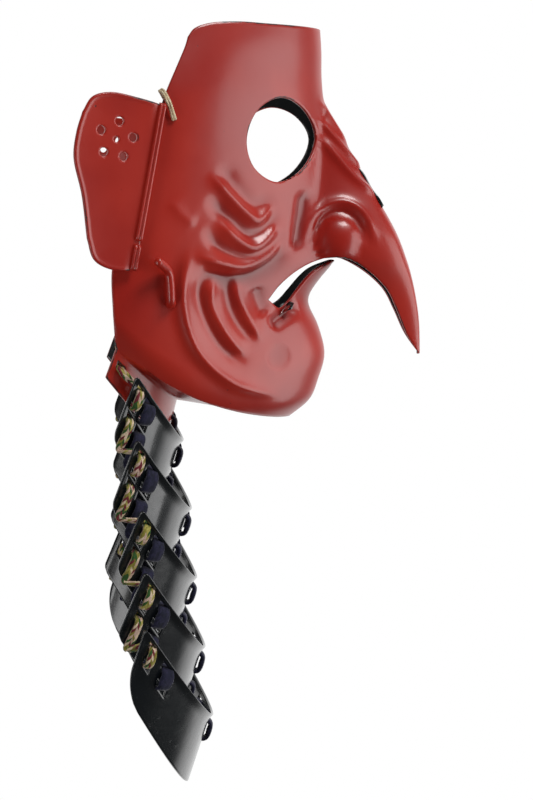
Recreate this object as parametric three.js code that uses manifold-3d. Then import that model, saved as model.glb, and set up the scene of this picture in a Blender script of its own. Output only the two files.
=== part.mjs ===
// Samurai face guard in the crow-goblin form: a red lacquered face shell with a hooked beak, two
// ear plates, two cord hooks, two tie loops and five black throat lames hung on laces.
// Millimetres. The guard faces -Y, +Z is up, and the wearer's right is -X. The origin is the middle
// of the face hollow, on the mid-plane, level with the eye holes.
import * as THREE from "three";
import * as BufferGeometryUtils from "three/addons/utils/BufferGeometryUtils.js";
import Module from "manifold-3d";

const wasm = await Module();
wasm.setup();

// Driving dimensions.
const SHELL_WALL = 1.8;
const LAME_WALL = 1.6;
const PLATE_WALL = 2;
const SEAT_GAP = 0.5;
const UPPER_ROWS = 16;
const LOWER_ROWS = 7;
const FLOOR_ROWS = 2;
const HALF_COLUMNS = 15;
const CORNER_COLUMN = 6;
const FRONT_CROWDING = 0.8;
const CREASE_SHARPNESS = 12;
const JAW_TUCK = 4.5;
const JAW_TUCK_HEIGHT = 15;
const ARC_TURN = (72 * Math.PI) / 180;

// Level sections of the face, from the top edge down: y of the nose ridge, of the face without its
// nose and of the rear edge, half width at the rear edge, bluntness of the front, nose half width.
const SECTIONS = [
  { z: 61, ridge: -62.1, face: -62.1, rear: 12, half: 60, blunt: 0.65, nose: 12 },
  { z: 49, ridge: -62.9, face: -62.9, rear: 12.1, half: 62, blunt: 0.62, nose: 12 },
  { z: 36, ridge: -63, face: -63, rear: 17.2, half: 66, blunt: 0.58, nose: 12 },
  { z: 22, ridge: -64.4, face: -64.4, rear: 23.3, half: 70, blunt: 0.52, nose: 13 },
  { z: 10, ridge: -70.6, face: -65, rear: 27.5, half: 72, blunt: 0.5, nose: 15 },
  { z: -5, ridge: -78.8, face: -66, rear: 32.5, half: 73, blunt: 0.5, nose: 16 },
  { z: -20, ridge: -87.6, face: -67, rear: 37.2, half: 74, blunt: 0.5, nose: 17.5 },
  { z: -35, ridge: -97.5, face: -68, rear: 41.8, half: 75, blunt: 0.5, nose: 19.5 },
  { z: -50, ridge: -105.8, face: -69, rear: 46.5, half: 76, blunt: 0.5, nose: 21 },
  { z: -64, ridge: -111.2, face: -70.3, rear: 50.8, half: 76, blunt: 0.52, nose: 19.8 },
  { z: -72, ridge: -113.8, face: -63.6, rear: 51.5, half: 76, blunt: 0.55, nose: 14.9 },
  { z: -85, ridge: -116.7, face: -55.7, rear: 51, half: 75.5, blunt: 0.55, nose: 10.2 },
  { z: -98, ridge: -118.5, face: -61.2, rear: 50.5, half: 73.5, blunt: 0.58, nose: 8.2 },
  { z: -115, ridge: -119, face: -65.4, rear: 50.1, half: 71, blunt: 0.6, nose: 5 },
  { z: -129, ridge: -119, face: -61.7, rear: 50, half: 71, blunt: 0.6, nose: 5 },
  { z: -141, ridge: -119, face: -56.7, rear: 50, half: 71, blunt: 0.6, nose: 5 },
  { z: -149.4, ridge: -119, face: -45.7, rear: 50, half: 71, blunt: 0.6, nose: 5 },
];
const NOSE_ROUNDING = 18.6;

// Side-view outlines as y and z: the edges that no level section gives.
const TOP_EDGE = side([-62.1, 60.7], [-30, 59], [-14, 58.4], [1.7, 56.3], [9, 53.2], [12.1, 49]);
const BEAK_EDGE = side([-118.9, -115.3], [-111, -104], [-104.8, -90.3], [-98.8, -79], [-84, -66.4], [-71, -61.2],
  [-57.2, -63.5], [-46, -69], [-35.7, -77.5], [-30.9, -83.8]);
const LOWER_LIP = side([-70.3, -63.7], [-58, -69.7], [-47, -81.5], [-42.3, -86.9], [-37.7, -88.6], [-30.9, -83.8]);
const CORNER_TO_REAR = side([-30.9, -83.8], [-10, -81], [20, -80], [51.4, -80]);
const JAW_EDGE = side([-45.7, -149.4], [-34, -147.9], [-14.4, -143.2], [11, -133.2], [35.6, -117.5], [50.1, -105]);
const EYE_HOLE = side([-58.4, 6], [-50.5, 17.8], [-38.1, 22.3], [-23.8, 14.5], [-17.7, -1.5], [-22, -15.2],
  [-34.5, -22.3], [-48, -17], [-57, -5]);

// Raised folds (height above zero) and grooves (below zero) on each cheek and on the nose, in side
// view from the wearer's right. Each path runs down or forward; outer and inner are its half
// widths on its rear or lower side and on the other.
const FOLDS = [
  { name: "lower lid groove", height: -1.2, outer: 4, inner: 5, path: side([-3, -13], [-13, -27], [-24, -34], [-34, -28]) },
  { name: "lid fold", height: 2.4, outer: 3.4, inner: 4.5, path: side([3, -18], [-8.2, -29.6], [-17, -38], [-24, -42], [-33.3, -32.3]) },
  { name: "lid groove", height: -2, outer: 4, inner: 4, path: side([4, -29], [-9.2, -40.8], [-20, -49.5], [-29.4, -45], [-35, -35]) },
  { name: "middle fold", height: 2.4, outer: 3.4, inner: 4.5, path: side([-1, -41], [-12.4, -51.6], [-22, -56], [-30.5, -50], [-34.5, -41]) },
  { name: "middle groove", height: -2, outer: 3.5, inner: 4, path: side([6, -45], [-5.4, -56.7], [-20, -61.5], [-34.9, -53.2], [-40.5, -46]) },
  { name: "pouch fold", height: 2.6, outer: 3, inner: 5, path: side([12, -59], [-2, -63.5], [-16, -65.5], [-30, -60], [-40, -49]) },
  { name: "pouch shadow", height: -2.2, outer: 7, inner: 3, path: side([10, -67], [-5, -71.5], [-20, -70], [-34, -62], [-42, -52]) },
  { name: "temple line", height: 0.8, outer: 3, inner: 5, path: side([23, -32], [16, -40], [9, -45]) },
  { name: "long fold", height: 3.6, outer: 3, inner: 7, path: side([11, -54], [17.4, -80], [10, -107.8], [-8, -125.5], [-39.5, -136.8]) },
  { name: "long groove", height: -1.8, outer: 4, inner: 4, path: side([6.5, -66], [6.4, -82], [-4.7, -106.4], [-20, -118]) },
  { name: "second fold", height: 2.6, outer: 3, inner: 5, path: side([-2, -68], [2.3, -83], [-7.4, -102.8], [-19, -114]) },
  { name: "second groove", height: -1.8, outer: 4, inner: 4, path: side([-9.7, -71], [-9.6, -83], [-14, -94], [-25, -107]) },
  { name: "third fold", height: 2.4, outer: 3, inner: 5, path: side([-14.5, -70.5], [-12.4, -79], [-18, -93], [-27, -106]) },
  { name: "third groove", height: -1.5, outer: 4, inner: 4, path: side([-23, -76], [-26, -85], [-29.5, -92]) },
  { name: "under-lip groove", height: -2.4, outer: 4, inner: 4, path: side([-31, -98], [-39.5, -92.5], [-48, -86.5]) },
  { name: "cheek crease", height: -3, outer: 3.5, inner: 3, path: side([-52, -24], [-49.5, -40], [-46, -60]) },
  { name: "nostril ring", height: 1.8, outer: 2.6, inner: 2.6, path: side([-51.5, -56], [-59, -37], [-72, -31.5], [-84, -37], [-92, -57]) },
  { name: "nostril groove", height: -1.6, outer: 2.4, inner: 2.4, path: side([-55, -56], [-61, -41], [-71, -36], [-81, -41], [-86, -55]) },
  { name: "first wrinkle", height: 1.6, outer: 2.2, inner: 3, path: side([-60, 24], [-66, 15], [-73, 5], [-81, -3]) },
  { name: "second wrinkle", height: 1.8, outer: 2.2, inner: 3, path: side([-58, 15], [-66, 6], [-76, -5], [-88, -17]) },
  { name: "third wrinkle", height: 2, outer: 2.4, inner: 3.4, path: side([-58, 6], [-69.5, -7], [-81, -19.5], [-95, -30]) },
];
const NOSTRIL = { y: -70, z: -52, along: 12, up: 12, height: 4.5 };
const CHIN_DIMPLE = { y: -36.7, z: -114.6, along: 7, up: 7, height: -1 };
const FOLD_FADE = 0.22;

// The throat flange and the lames are bent strips between two U-shaped arcs: half width, then y
// and z of the arc's rear ends and of its front. The lower lames swing back at the left end.
const THROAT_LINE = { half: 67, rearY: 49.5, rearZ: -107, frontY: 17, frontZ: -139.5 };
const FLANGE_EDGE = { half: 66, rearY: 55, rearZ: -121.5, frontY: 23, frontZ: -163 };
const LAMES = [
  { half: 67, rearY: 39.7, rearZ: -120.6, frontY: 14.8, frontZ: -161.6, rearHeight: 32.5, rearSweep: 12.3 },
  { half: 72, rearY: 39.8, rearZ: -152.4, frontY: 10.5, frontZ: -199.6, rearHeight: 35, rearSweep: 13.2 },
  { half: 77, rearY: 37.7, rearZ: -187.5, frontY: 8, frontZ: -237.9, rearHeight: 31, rearSweep: 12.9, swing: 4 },
  { half: 84, rearY: 36.3, rearZ: -217.9, frontY: 3.9, frontZ: -276.7, rearHeight: 33.4, rearSweep: 14.3, swing: 8 },
  { half: 92, rearY: 36.8, rearZ: -245.1, frontY: 0, frontZ: -314.8, rearHeight: 33, rearSweep: 10.5, swing: 11 },
];
const LAME_FRONT_HEIGHT = 38;
const LAME_FRONT_SWEEP = 12.5;
const LAME_NARROWING = 3;
const LAME_COLUMNS = 6;
const LIP_HEIGHT = 0.045;
const LIP_FLARE = 1.3;

// Laces: place across the lames and across the flange, flat width, and the heights on each lame
// where they pass through.
const LACES = [
  { name: "lace_centre", across: 0.13, onFlange: 0.13, width: 8, colour: 0x1c2038 },
  { name: "lace_side", across: 0.82, onFlange: 0.73, width: 7.8, colour: 0x1c2038 },
  { name: "lace_edge", across: 0.935, onFlange: 0.93, width: 4.8, colour: 0x8d8f5a },
];
const LACE_THICK = 2.4;
const LACE_CLEAR = 0.7;
const LACE_HOLES = { top: 0.115, middle: 0.385, low: 0.55 };
const LACE_RISE = 0.03;
const FLANGE_LACE_HOLE = 0.38;
const HOLE_HEIGHT = 5;
const CORNER_START = 0.7;
const CORNER_DEPTH = 0.1;

// Ear plate: sizes in its own plane, and where its front edge stands out from the mid-plane.
const EAR = { height: 78, widest: 42, lowerBack: 25, lowX: 75.4, highX: 73, flare: (22 * Math.PI) / 180, bead: 1.5 };
const EAR_HOLES = { back: 21.7, up: 56.8, ring: 9, radius: 2.6, centreRadius: 1.8 };
const TIE = { holeY: 20.3, holeZ: 9.2, thick: 2.2, edgeY: 22 };
const HOOK = { postY: 22.4, postZ: -84, radius: 2.1, stand: 4.2, rise: 17 };

const RED = { color: 0x9c1c14, roughness: 0.3, metalness: 0.1 };
const BLACK = { color: 0x14191c, roughness: 0.35, metalness: 0.1 };
const CREAM = { color: 0xe8dcb8, roughness: 0.9, metalness: 0 };

function side(...pairs) {
  return pairs.map(([y, z]) => new THREE.Vector2(y, z));
}

function spline(points) {
  return new THREE.CatmullRomCurve3(points.map((p) => new THREE.Vector3(0, p.x, p.y)), false, "centripetal");
}

// A value between the rows of SECTIONS, eased so that the slope is continuous.
function section(column, z) {
  const below = SECTIONS.findIndex((row) => row.z <= z);
  const i = below < 0 ? SECTIONS.length - 1 : Math.max(1, below);
  const at = (k) => SECTIONS[THREE.MathUtils.clamp(k, 0, SECTIONS.length - 1)];
  const slope = (k) => (at(k + 1)[column] - at(k - 1)[column]) / (at(k + 1).z - at(k - 1).z || 1);
  const from = at(i - 1);
  const to = at(i);
  const span = to.z - from.z;
  const t = THREE.MathUtils.clamp((z - from.z) / span, 0, 1);
  const t2 = t * t;
  const t3 = t2 * t;
  return (2 * t3 - 3 * t2 + 1) * from[column] + (t3 - 2 * t2 + t) * span * slope(i - 1)
    + (3 * t2 - 2 * t3) * to[column] + (t3 - t2) * span * slope(i);
}

function faceHalf(y, z) {
  const front = section("face", z);
  const t = (y - front) / (section("rear", z) - front);
  if (t <= 0) return 0;
  const blunt = section("blunt", z);
  const round = blunt * Math.sqrt(t) + (1 - blunt) * (1.5 * t - 0.5 * t ** 3);
  return section("half", z) * round - jawTuck(y, z);
}

function noseHalf(y, z) {
  const depth = y - section("ridge", z);
  if (depth <= 0) return 0;
  return section("nose", z) * Math.sqrt(depth / (depth + NOSE_ROUNDING));
}

const jawCurve = spline(JAW_EDGE);

function jawTuck(y, z) {
  const t = THREE.MathUtils.clamp((y - JAW_EDGE[0].x) / (JAW_EDGE.at(-1).x - JAW_EDGE[0].x), 0, 1);
  const height = z - jawCurve.getPoint(t).z;
  const near = THREE.MathUtils.clamp(1 - height / JAW_TUCK_HEIGHT, 0, 1);
  return JAW_TUCK * near * near * Math.min(1, 4 * t);
}

function halfWidth(y, z, withNose) {
  const face = Math.max(0, faceHalf(y, z));
  if (!withNose) return face;
  const nose = noseHalf(y, z);
  return (face ** CREASE_SHARPNESS + nose ** CREASE_SHARPNESS) ** (1 / CREASE_SHARPNESS);
}

function foldRelief(fold, y, z) {
  fold.line ??= spline(fold.path).getPoints(20);
  let best = Infinity;
  let along = 0;
  let sideSign = 1;
  for (let i = 0; i + 1 < fold.line.length; i++) {
    const a = fold.line[i];
    const b = fold.line[i + 1];
    const dy = b.y - a.y;
    const dz = b.z - a.z;
    const t = THREE.MathUtils.clamp(((y - a.y) * dy + (z - a.z) * dz) / (dy * dy + dz * dz), 0, 1);
    const gap = Math.hypot(y - a.y - t * dy, z - a.z - t * dz);
    if (gap < best) {
      best = gap;
      along = (i + t) / (fold.line.length - 1);
      sideSign = Math.sign(dy * (z - a.z) - dz * (y - a.y));
    }
  }
  const width = sideSign > 0 ? fold.outer : fold.inner;
  const fade = THREE.MathUtils.smoothstep(Math.min(along, 1 - along), 0, FOLD_FADE);
  return fold.height * fade * Math.exp(-((best / width) ** 2));
}

function bump({ y: cy, z: cz, along, up, height }, y, z) {
  const r = ((y - cy) / along) ** 2 + ((z - cz) / up) ** 2;
  return height * Math.max(0, 1 - r) ** 0.6;
}

function relief(y, z) {
  const folds = FOLDS.reduce((sum, fold) => sum + foldRelief(fold, y, z), 0);
  return folds + bump(NOSTRIL, y, z) + bump(CHIN_DIMPLE, y, z);
}

// A sheet is a list of points and a list of four-cornered cells, wound so that they face outwards.
class Sheet {
  constructor() {
    this.points = [];
    this.cells = [];
  }

  addPoint(x, y, z) {
    return this.points.push(new THREE.Vector3(x, y, z)) - 1;
  }

  // Joins two rows of point numbers by cells, leaving out those that the test rejects.
  joinRows(upper, lower, keep = () => true) {
    for (let k = 0; k + 1 < upper.length; k++) {
      if (keep(k)) this.cells.push([upper[k], lower[k], lower[k + 1], upper[k + 1]]);
    }
  }

  normals() {
    const normals = this.points.map(() => new THREE.Vector3());
    const ab = new THREE.Vector3();
    const cd = new THREE.Vector3();
    for (const cell of this.cells) {
      const [a, b, c, d] = cell.map((k) => this.points[k]);
      ab.subVectors(c, a);
      cd.subVectors(d, b);
      ab.cross(cd);
      for (const k of cell) normals[k].add(ab);
    }
    return normals.map((n) => n.normalize());
  }

  // A closed wall: the sheet, a copy moved inwards, and a band along every open edge.
  thicken(wallAt) {
    const count = this.points.length;
    const normals = this.normals();
    const inner = this.points.map((p, k) => p.clone().addScaledVector(normals[k], -wallAt(p)));
    const all = [...this.points, ...inner];
    const cells = [...this.cells];
    const edges = new Set();
    for (const cell of this.cells) {
      cells.push(cell.map((k) => k + count).reverse());
      cell.forEach((from, i) => edges.add(`${from},${cell[(i + 1) % 4]}`));
    }
    for (const cell of this.cells) {
      cell.forEach((from, i) => {
        const to = cell[(i + 1) % 4];
        if (!edges.has(`${to},${from}`)) cells.push([to, from, from + count, to + count]);
      });
    }
    return cellGeometry(all, cells);
  }
}

function cellGeometry(points, cells) {
  const index = [];
  for (const [a, b, c, d] of cells) {
    const short = points[a].distanceTo(points[c]) <= points[b].distanceTo(points[d]);
    index.push(...(short ? [a, b, c, a, c, d] : [a, b, d, b, c, d]));
  }
  const geometry = new THREE.BufferGeometry();
  geometry.setAttribute("position", new THREE.Float32BufferAttribute(points.flatMap((p) => p.toArray()), 3));
  geometry.setIndex(index);
  return geometry;
}

function toSolid(geometry) {
  const plain = geometry.clone();
  plain.deleteAttribute("normal");
  plain.deleteAttribute("uv");
  const merged = BufferGeometryUtils.mergeVertices(plain, 1e-5);
  const vertProperties = new Float32Array(merged.attributes.position.array);
  const triVerts = new Uint32Array(merged.index.array);
  return new wasm.Manifold(new wasm.Mesh({ numProp: 3, vertProperties, triVerts }));
}

function toGeometry(manifold) {
  const mesh = manifold.getMesh();
  const geometry = new THREE.BufferGeometry();
  geometry.setAttribute("position", new THREE.BufferAttribute(mesh.vertProperties, mesh.numProp));
  geometry.setIndex(new THREE.BufferAttribute(mesh.triVerts, 1));
  return geometry;
}

function cut(geometry, tools) {
  let result = toSolid(geometry);
  for (const tool of tools) result = result.subtract(toSolid(tool));
  return toGeometry(result);
}

function mirrored(geometry) {
  const other = geometry.clone();
  other.scale(-1, 1, 1);
  const order = other.index ?? { array: [...Array(other.attributes.position.count).keys()] };
  const flipped = [];
  for (let k = 0; k < order.array.length; k += 3) {
    flipped.push(order.array[k], order.array[k + 2], order.array[k + 1]);
  }
  other.setIndex(flipped);
  return other;
}

// How far along its row a column lies: crowded towards the front, where the sheet curves most.
function crowd(t) {
  return FRONT_CROWDING * t * t + (1 - FRONT_CROWDING) * t;
}

// The lower edge of a face patch: an open lip from the front to the mouth corner, then the shared
// line from the corner to the rear edge.
function lipRow(lip) {
  const lipCurve = spline(lip);
  const rearCurve = spline(CORNER_TO_REAR);
  return (j) => {
    if (j <= CORNER_COLUMN) return lipCurve.getPointAt((j / CORNER_COLUMN) ** 1.25);
    return rearCurve.getPointAt((j - CORNER_COLUMN) / (HALF_COLUMNS - CORNER_COLUMN));
  };
}

// Fills the patch between four outlines, given as functions of the column and the row share.
function coons(top, bottom, front, rear, rows) {
  const grid = [];
  for (let i = 0; i <= rows; i++) {
    const r = i / rows;
    const row = [];
    for (let j = 0; j <= HALF_COLUMNS; j++) {
      const s = crowd(j / HALF_COLUMNS);
      const point = front(r).clone().multiplyScalar(1 - s).addScaledVector(rear(r), s);
      point.addScaledVector(top(j), 1 - r).addScaledVector(bottom(j), r);
      point.addScaledVector(top(0), -(1 - s) * (1 - r)).addScaledVector(top(HALF_COLUMNS), -s * (1 - r));
      point.addScaledVector(bottom(0), -(1 - s) * r).addScaledVector(bottom(HALF_COLUMNS), -s * r);
      row.push(point);
    }
    grid.push(row);
  }
  return grid;
}

function upperGrid() {
  const topCurve = spline(TOP_EDGE);
  const top = (j) => topCurve.getPointAt(crowd(j / HALF_COLUMNS));
  const bottom = lipRow(BEAK_EDGE);
  const level = (column, from, to) => (r) => {
    const z = THREE.MathUtils.lerp(from.z, to.z, r);
    return new THREE.Vector3(0, section(column, z), z);
  };
  const front = level("ridge", top(0), bottom(0));
  const rear = level("rear", top(HALF_COLUMNS), bottom(HALF_COLUMNS));
  return coons(top, bottom, front, rear, UPPER_ROWS);
}

function lowerGrid() {
  const top = lipRow(LOWER_LIP);
  const bottom = (j) => jawCurve.getPointAt(crowd(j / HALF_COLUMNS));
  const level = (column, from, to) => (r) => {
    const z = THREE.MathUtils.lerp(from.z, to.z, r);
    return new THREE.Vector3(0, section(column, z), z);
  };
  const front = level("face", top(0), bottom(0));
  const rear = level("rear", top(HALF_COLUMNS), bottom(HALF_COLUMNS));
  return coons(top, bottom, front, rear, LOWER_ROWS);
}

// A point on a U-shaped arc; u is -1 and 1 at its rear ends and 0 at its front.
function arcPoint(arc, u) {
  const turn = (1 - Math.cos(u * ARC_TURN)) / (1 - Math.cos(ARC_TURN));
  const x = (arc.half * Math.sin(u * ARC_TURN)) / Math.sin(ARC_TURN);
  const swing = ((arc.swing ?? 0) * (x / arc.half + turn)) / 2;
  return new THREE.Vector3(x, lerp(arc.frontY, arc.rearY, turn) + swing, lerp(arc.frontZ, arc.rearZ, turn));
}

function lerp(a, b, t) {
  return THREE.MathUtils.lerp(a, b, t);
}

// Rows of a half grid become rows of the whole sheet, from the wearer's right to the left.
function mirrorRow(sheet, row, xAt, ids = {}) {
  const numbers = [];
  for (let k = -HALF_COLUMNS; k <= HALF_COLUMNS; k++) {
    const point = row[Math.abs(k)];
    numbers.push(ids[k] ?? sheet.addPoint(Math.sign(k) * xAt(point, Math.abs(k)), point.y, point.z));
  }
  return numbers;
}

function shellSheet() {
  const sheet = new Sheet();
  const noseAt = (p, j) => (j === 0 ? 0 : halfWidth(p.y, p.z, true));
  const chinAt = (p, j) => (j === 0 ? 0 : halfWidth(p.y, p.z, false));
  const upper = upperGrid().map((row) => mirrorRow(sheet, row, noseAt));
  const shared = {};
  const lastRow = upper.at(-1);
  for (let k = -HALF_COLUMNS; k <= HALF_COLUMNS; k++) {
    if (Math.abs(k) >= CORNER_COLUMN) shared[k] = lastRow[k + HALF_COLUMNS];
  }
  const lower = lowerGrid().map((row, i) => mirrorRow(sheet, row, chinAt, i === 0 ? shared : {}));
  for (let i = 0; i + 1 < upper.length; i++) sheet.joinRows(upper[i], upper[i + 1]);
  for (let i = 0; i + 1 < lower.length; i++) sheet.joinRows(lower[i], lower[i + 1]);
  addThroat(sheet, lower.at(-1));
  return raiseFolds(sheet, [...upper, ...lower].flat());
}

// The floor under the chin runs back to the throat line, and the flange hangs down from there.
function addThroat(sheet, jawRow) {
  const jaw = jawRow.map((k) => sheet.points[k]);
  const widest = jaw.at(-1).x;
  let last = jawRow;
  const addRow = (at) => {
    const next = jaw.map((p) => sheet.addPoint(...at(p, p.x / widest)));
    sheet.joinRows(last, next);
    last = next;
  };
  for (let i = 1; i <= FLOOR_ROWS; i++) {
    addRow((p, u) => p.clone().lerp(arcPoint(THROAT_LINE, u), i / FLOOR_ROWS).toArray());
  }
  addRow((p, u) => arcPoint(THROAT_LINE, u).lerp(arcPoint(FLANGE_EDGE, u), 0.5).toArray());
  addRow((p, u) => arcPoint(FLANGE_EDGE, u).toArray());
}

function raiseFolds(sheet, faceNumbers) {
  const normals = sheet.normals();
  const raised = new Sheet();
  raised.cells = sheet.cells;
  raised.points = sheet.points.map((p) => p.clone());
  for (const k of new Set(faceNumbers)) {
    const p = raised.points[k];
    const height = relief(p.y, p.z);
    const x = p.x;
    p.addScaledVector(normals[k], height);
    if (x === 0) p.x = 0;
  }
  return raised;
}

function shellWallAt(p) {
  return Math.abs(p.x) < 0.01 ? SHELL_WALL : Math.min(SHELL_WALL, Math.abs(p.x) / 2);
}

// A prism through one side of the face whose section is drawn in side view.
function sidePrism(shape, nearX, farX, segments) {
  const geometry = new THREE.ExtrudeGeometry(shape, { depth: farX - nearX, bevelEnabled: false, curveSegments: segments });
  const basis = new THREE.Matrix4().makeBasis(
    new THREE.Vector3(0, 1, 0), new THREE.Vector3(0, 0, 1), new THREE.Vector3(1, 0, 0));
  return geometry.applyMatrix4(basis).translate(nearX, 0, 0);
}

function eyeTools() {
  const outline = new THREE.CatmullRomCurve3(EYE_HOLE.map((p) => new THREE.Vector3(p.x, p.y, 0)), true).getPoints(26);
  const shape = new THREE.Shape(outline.slice(0, -1).map((p) => new THREE.Vector2(p.x, p.y)));
  const right = sidePrism(shape, 5, 90, 1);
  return [right, mirrored(right)];
}

// A strip point: across runs from -1 to 1 between the rear ends, down from 0 to 1, out from the
// strip's outer face.
function stripPoint(strip, across, down, out = 0) {
  const p = arcPoint(strip.top, across).lerp(arcPoint(strip.foot, across), down);
  return out === 0 ? p : p.addScaledVector(stripFrame(strip, across, down).normal, out);
}

// Square directions at a strip point: straight down the strip, out of it, and sideways.
function stripFrame(strip, across, down) {
  const step = 0.01;
  const tangent = stripPoint(strip, across + step, down).sub(stripPoint(strip, across - step, down));
  const fall = arcPoint(strip.foot, across).sub(arcPoint(strip.top, across)).normalize();
  const normal = fall.clone().cross(tangent).normalize();
  const sideways = normal.clone().cross(fall);
  return { sideways, fall, normal };
}

function lameStrip(lame) {
  const foot = {
    half: lame.half - LAME_NARROWING,
    rearY: lame.rearY + lame.rearSweep,
    rearZ: lame.rearZ - lame.rearHeight,
    frontY: lame.frontY + LAME_FRONT_SWEEP,
    frontZ: lame.frontZ - LAME_FRONT_HEIGHT,
    swing: lame.swing,
  };
  return { top: lame, foot };
}

const flangeStrip = { top: THROAT_LINE, foot: FLANGE_EDGE };

// The box that a lace passes through, square to the strip.
function holeTool(strip, across, down, width) {
  const { sideways, fall, normal } = stripFrame(strip, across, down);
  const box = new THREE.BoxGeometry(width + 2 * LACE_CLEAR, HOLE_HEIGHT, 12);
  const basis = new THREE.Matrix4().makeBasis(sideways, fall.clone().negate(), normal);
  basis.setPosition(stripPoint(strip, across, down));
  return box.applyMatrix4(basis);
}

function holeTools(strip, heights, column = "across") {
  const tools = [];
  for (const lace of LACES) {
    for (const sign of [-1, 1]) {
      for (const down of heights) tools.push(holeTool(strip, sign * lace[column], down, lace.width));
    }
  }
  return tools;
}

function maskShell() {
  const sheet = shellSheet();
  const tools = [...eyeTools(), ...holeTools(flangeStrip, [FLANGE_LACE_HOLE], "onFlange")];
  for (const tool of [postTool(), tieTool()]) tools.push(tool, mirrored(tool));
  return cut(sheet.thicken(shellWallAt), tools);
}

// A bent strip whose top edge flares out in a small lip; the last lame has rounded lower corners.
function lameGeometry(lame, isLast) {
  const strip = lameStrip(lame);
  const sheet = new Sheet();
  const rows = isLast ? [0, LIP_HEIGHT, 0.6, 0.88, 1] : [0, LIP_HEIGHT, 1];
  let above = null;
  for (const down of rows) {
    const reach = isLast ? cornerReach(down) : 1;
    const row = [];
    for (let k = -LAME_COLUMNS; k <= LAME_COLUMNS; k++) {
      const p = stripPoint(strip, (reach * k) / LAME_COLUMNS, down, down === 0 ? LIP_FLARE : 0);
      row.push(sheet.addPoint(...p.toArray()));
    }
    if (above) sheet.joinRows(above, row);
    above = row;
  }
  const heights = isLast ? [LACE_HOLES.top, LACE_HOLES.middle] : Object.values(LACE_HOLES);
  return cut(sheet.thicken(() => LAME_WALL), holeTools(strip, heights));
}

function cornerReach(down) {
  const t = Math.max(0, (down - CORNER_START) / (1 - CORNER_START));
  return 1 - CORNER_DEPTH * (1 - Math.sqrt(1 - t * t));
}

// A solid swept along stations, each with a point and the two half-size directions of its section.
function sweep(stations, sectionPoints, closed = false) {
  const points = [];
  const sides = sectionPoints.length;
  for (const { point, right, up } of stations) {
    for (const [a, b] of sectionPoints) {
      points.push(point.clone().addScaledVector(right, a).addScaledVector(up, b));
    }
  }
  const cells = [];
  const rings = stations.length;
  for (let i = 0; i < (closed ? rings : rings - 1); i++) {
    for (let k = 0; k < sides; k++) {
      const a = i * sides + k;
      const b = i * sides + ((k + 1) % sides);
      const next = ((i + 1) % rings) * sides;
      cells.push([a, b, next + (b % sides), next + (a % sides)]);
    }
  }
  const geometry = cellGeometry(points, cells);
  if (!closed) {
    const caps = [...geometry.index.array];
    const last = (rings - 1) * sides;
    for (let k = 1; k + 1 < sides; k++) caps.push(0, k + 1, k, last, last + k, last + k + 1);
    geometry.setIndex(caps);
  }
  return geometry;
}

// Stations along a list of points whose sections keep one side along a given direction.
function stationsAlong(points, sideAt, width, thick, closed = false) {
  const count = points.length;
  return points.map((point, i) => {
    const before = closed ? points[(i + count - 1) % count] : points[Math.max(0, i - 1)];
    const after = closed ? points[(i + 1) % count] : points[Math.min(count - 1, i + 1)];
    const along = after.clone().sub(before).normalize();
    const right = sideAt(i).clone().addScaledVector(along, -sideAt(i).dot(along)).normalize();
    const up = along.clone().cross(right).normalize();
    return { point, right: right.multiplyScalar(width / 2), up: up.multiplyScalar(thick / 2) };
  });
}

function ringSection(sides) {
  return Array.from({ length: sides }, (_, k) => {
    const angle = (2 * Math.PI * (k + 0.5)) / sides;
    return [Math.cos(angle), Math.sin(angle)];
  });
}

const FLAT_SECTION = [[1, 0], [0.75, 1], [-0.75, 1], [-1, 0], [-0.75, -1], [0.75, -1]];

// A lace leaves the flange, and on every lame it comes out, goes in below as a short stitch,
// comes out again and hangs over the lower edge to the inside of the next lame.
function laceGeometry(lace, sign) {
  const points = [];
  const sides = [];
  const add = (strip, down, out) => {
    const across = sign * (strip === flangeStrip ? lace.onFlange : lace.across);
    points.push(stripPoint(strip, across, down, out));
    sides.push(stripFrame(strip, across, down).sideways);
  };
  const outside = LACE_THICK / 2 + LACE_CLEAR;
  const inside = -(SHELL_WALL + LACE_THICK / 2 + LACE_CLEAR);
  add(flangeStrip, FLANGE_LACE_HOLE - 0.16, inside);
  add(flangeStrip, FLANGE_LACE_HOLE - 0.05, inside);
  add(flangeStrip, FLANGE_LACE_HOLE + 0.07, outside);
  LAMES.forEach((lame, i) => {
    const strip = lameStrip(lame);
    add(strip, LACE_HOLES.top - LACE_RISE, inside);
    add(strip, LACE_HOLES.top + LACE_RISE, outside);
    add(strip, LACE_HOLES.middle - LACE_RISE, outside);
    add(strip, LACE_HOLES.middle + LACE_RISE, inside);
    if (i + 1 === LAMES.length) return;
    add(strip, LACE_HOLES.low - LACE_RISE, inside);
    add(strip, LACE_HOLES.low + LACE_RISE, outside);
    add(strip, 1, outside);
  });
  return sweep(stationsAlong(points, (i) => sides[i], lace.width, LACE_THICK), FLAT_SECTION);
}

// The ear plate is drawn flat: up along its straight front edge, back towards its round rear edge.
function earOutline() {
  const shape = new THREE.Shape();
  shape.moveTo(0, -4);
  shape.lineTo(EAR.lowerBack - 12, -5.5);
  shape.quadraticCurveTo(EAR.lowerBack, -5, EAR.lowerBack + 2.5, 7);
  shape.bezierCurveTo(EAR.widest - 1, 30, EAR.widest + 1.5, 48, EAR.widest - 1, 66);
  shape.quadraticCurveTo(EAR.widest - 3, EAR.height + 1.5, EAR.widest - 13, EAR.height + 0.5);
  shape.lineTo(0, EAR.height);
  for (const [back, up, radius] of earHoles()) {
    const hole = new THREE.Path();
    hole.absarc(back, up, radius, 0, 2 * Math.PI, true);
    shape.holes.push(hole);
  }
  return shape;
}

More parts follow.
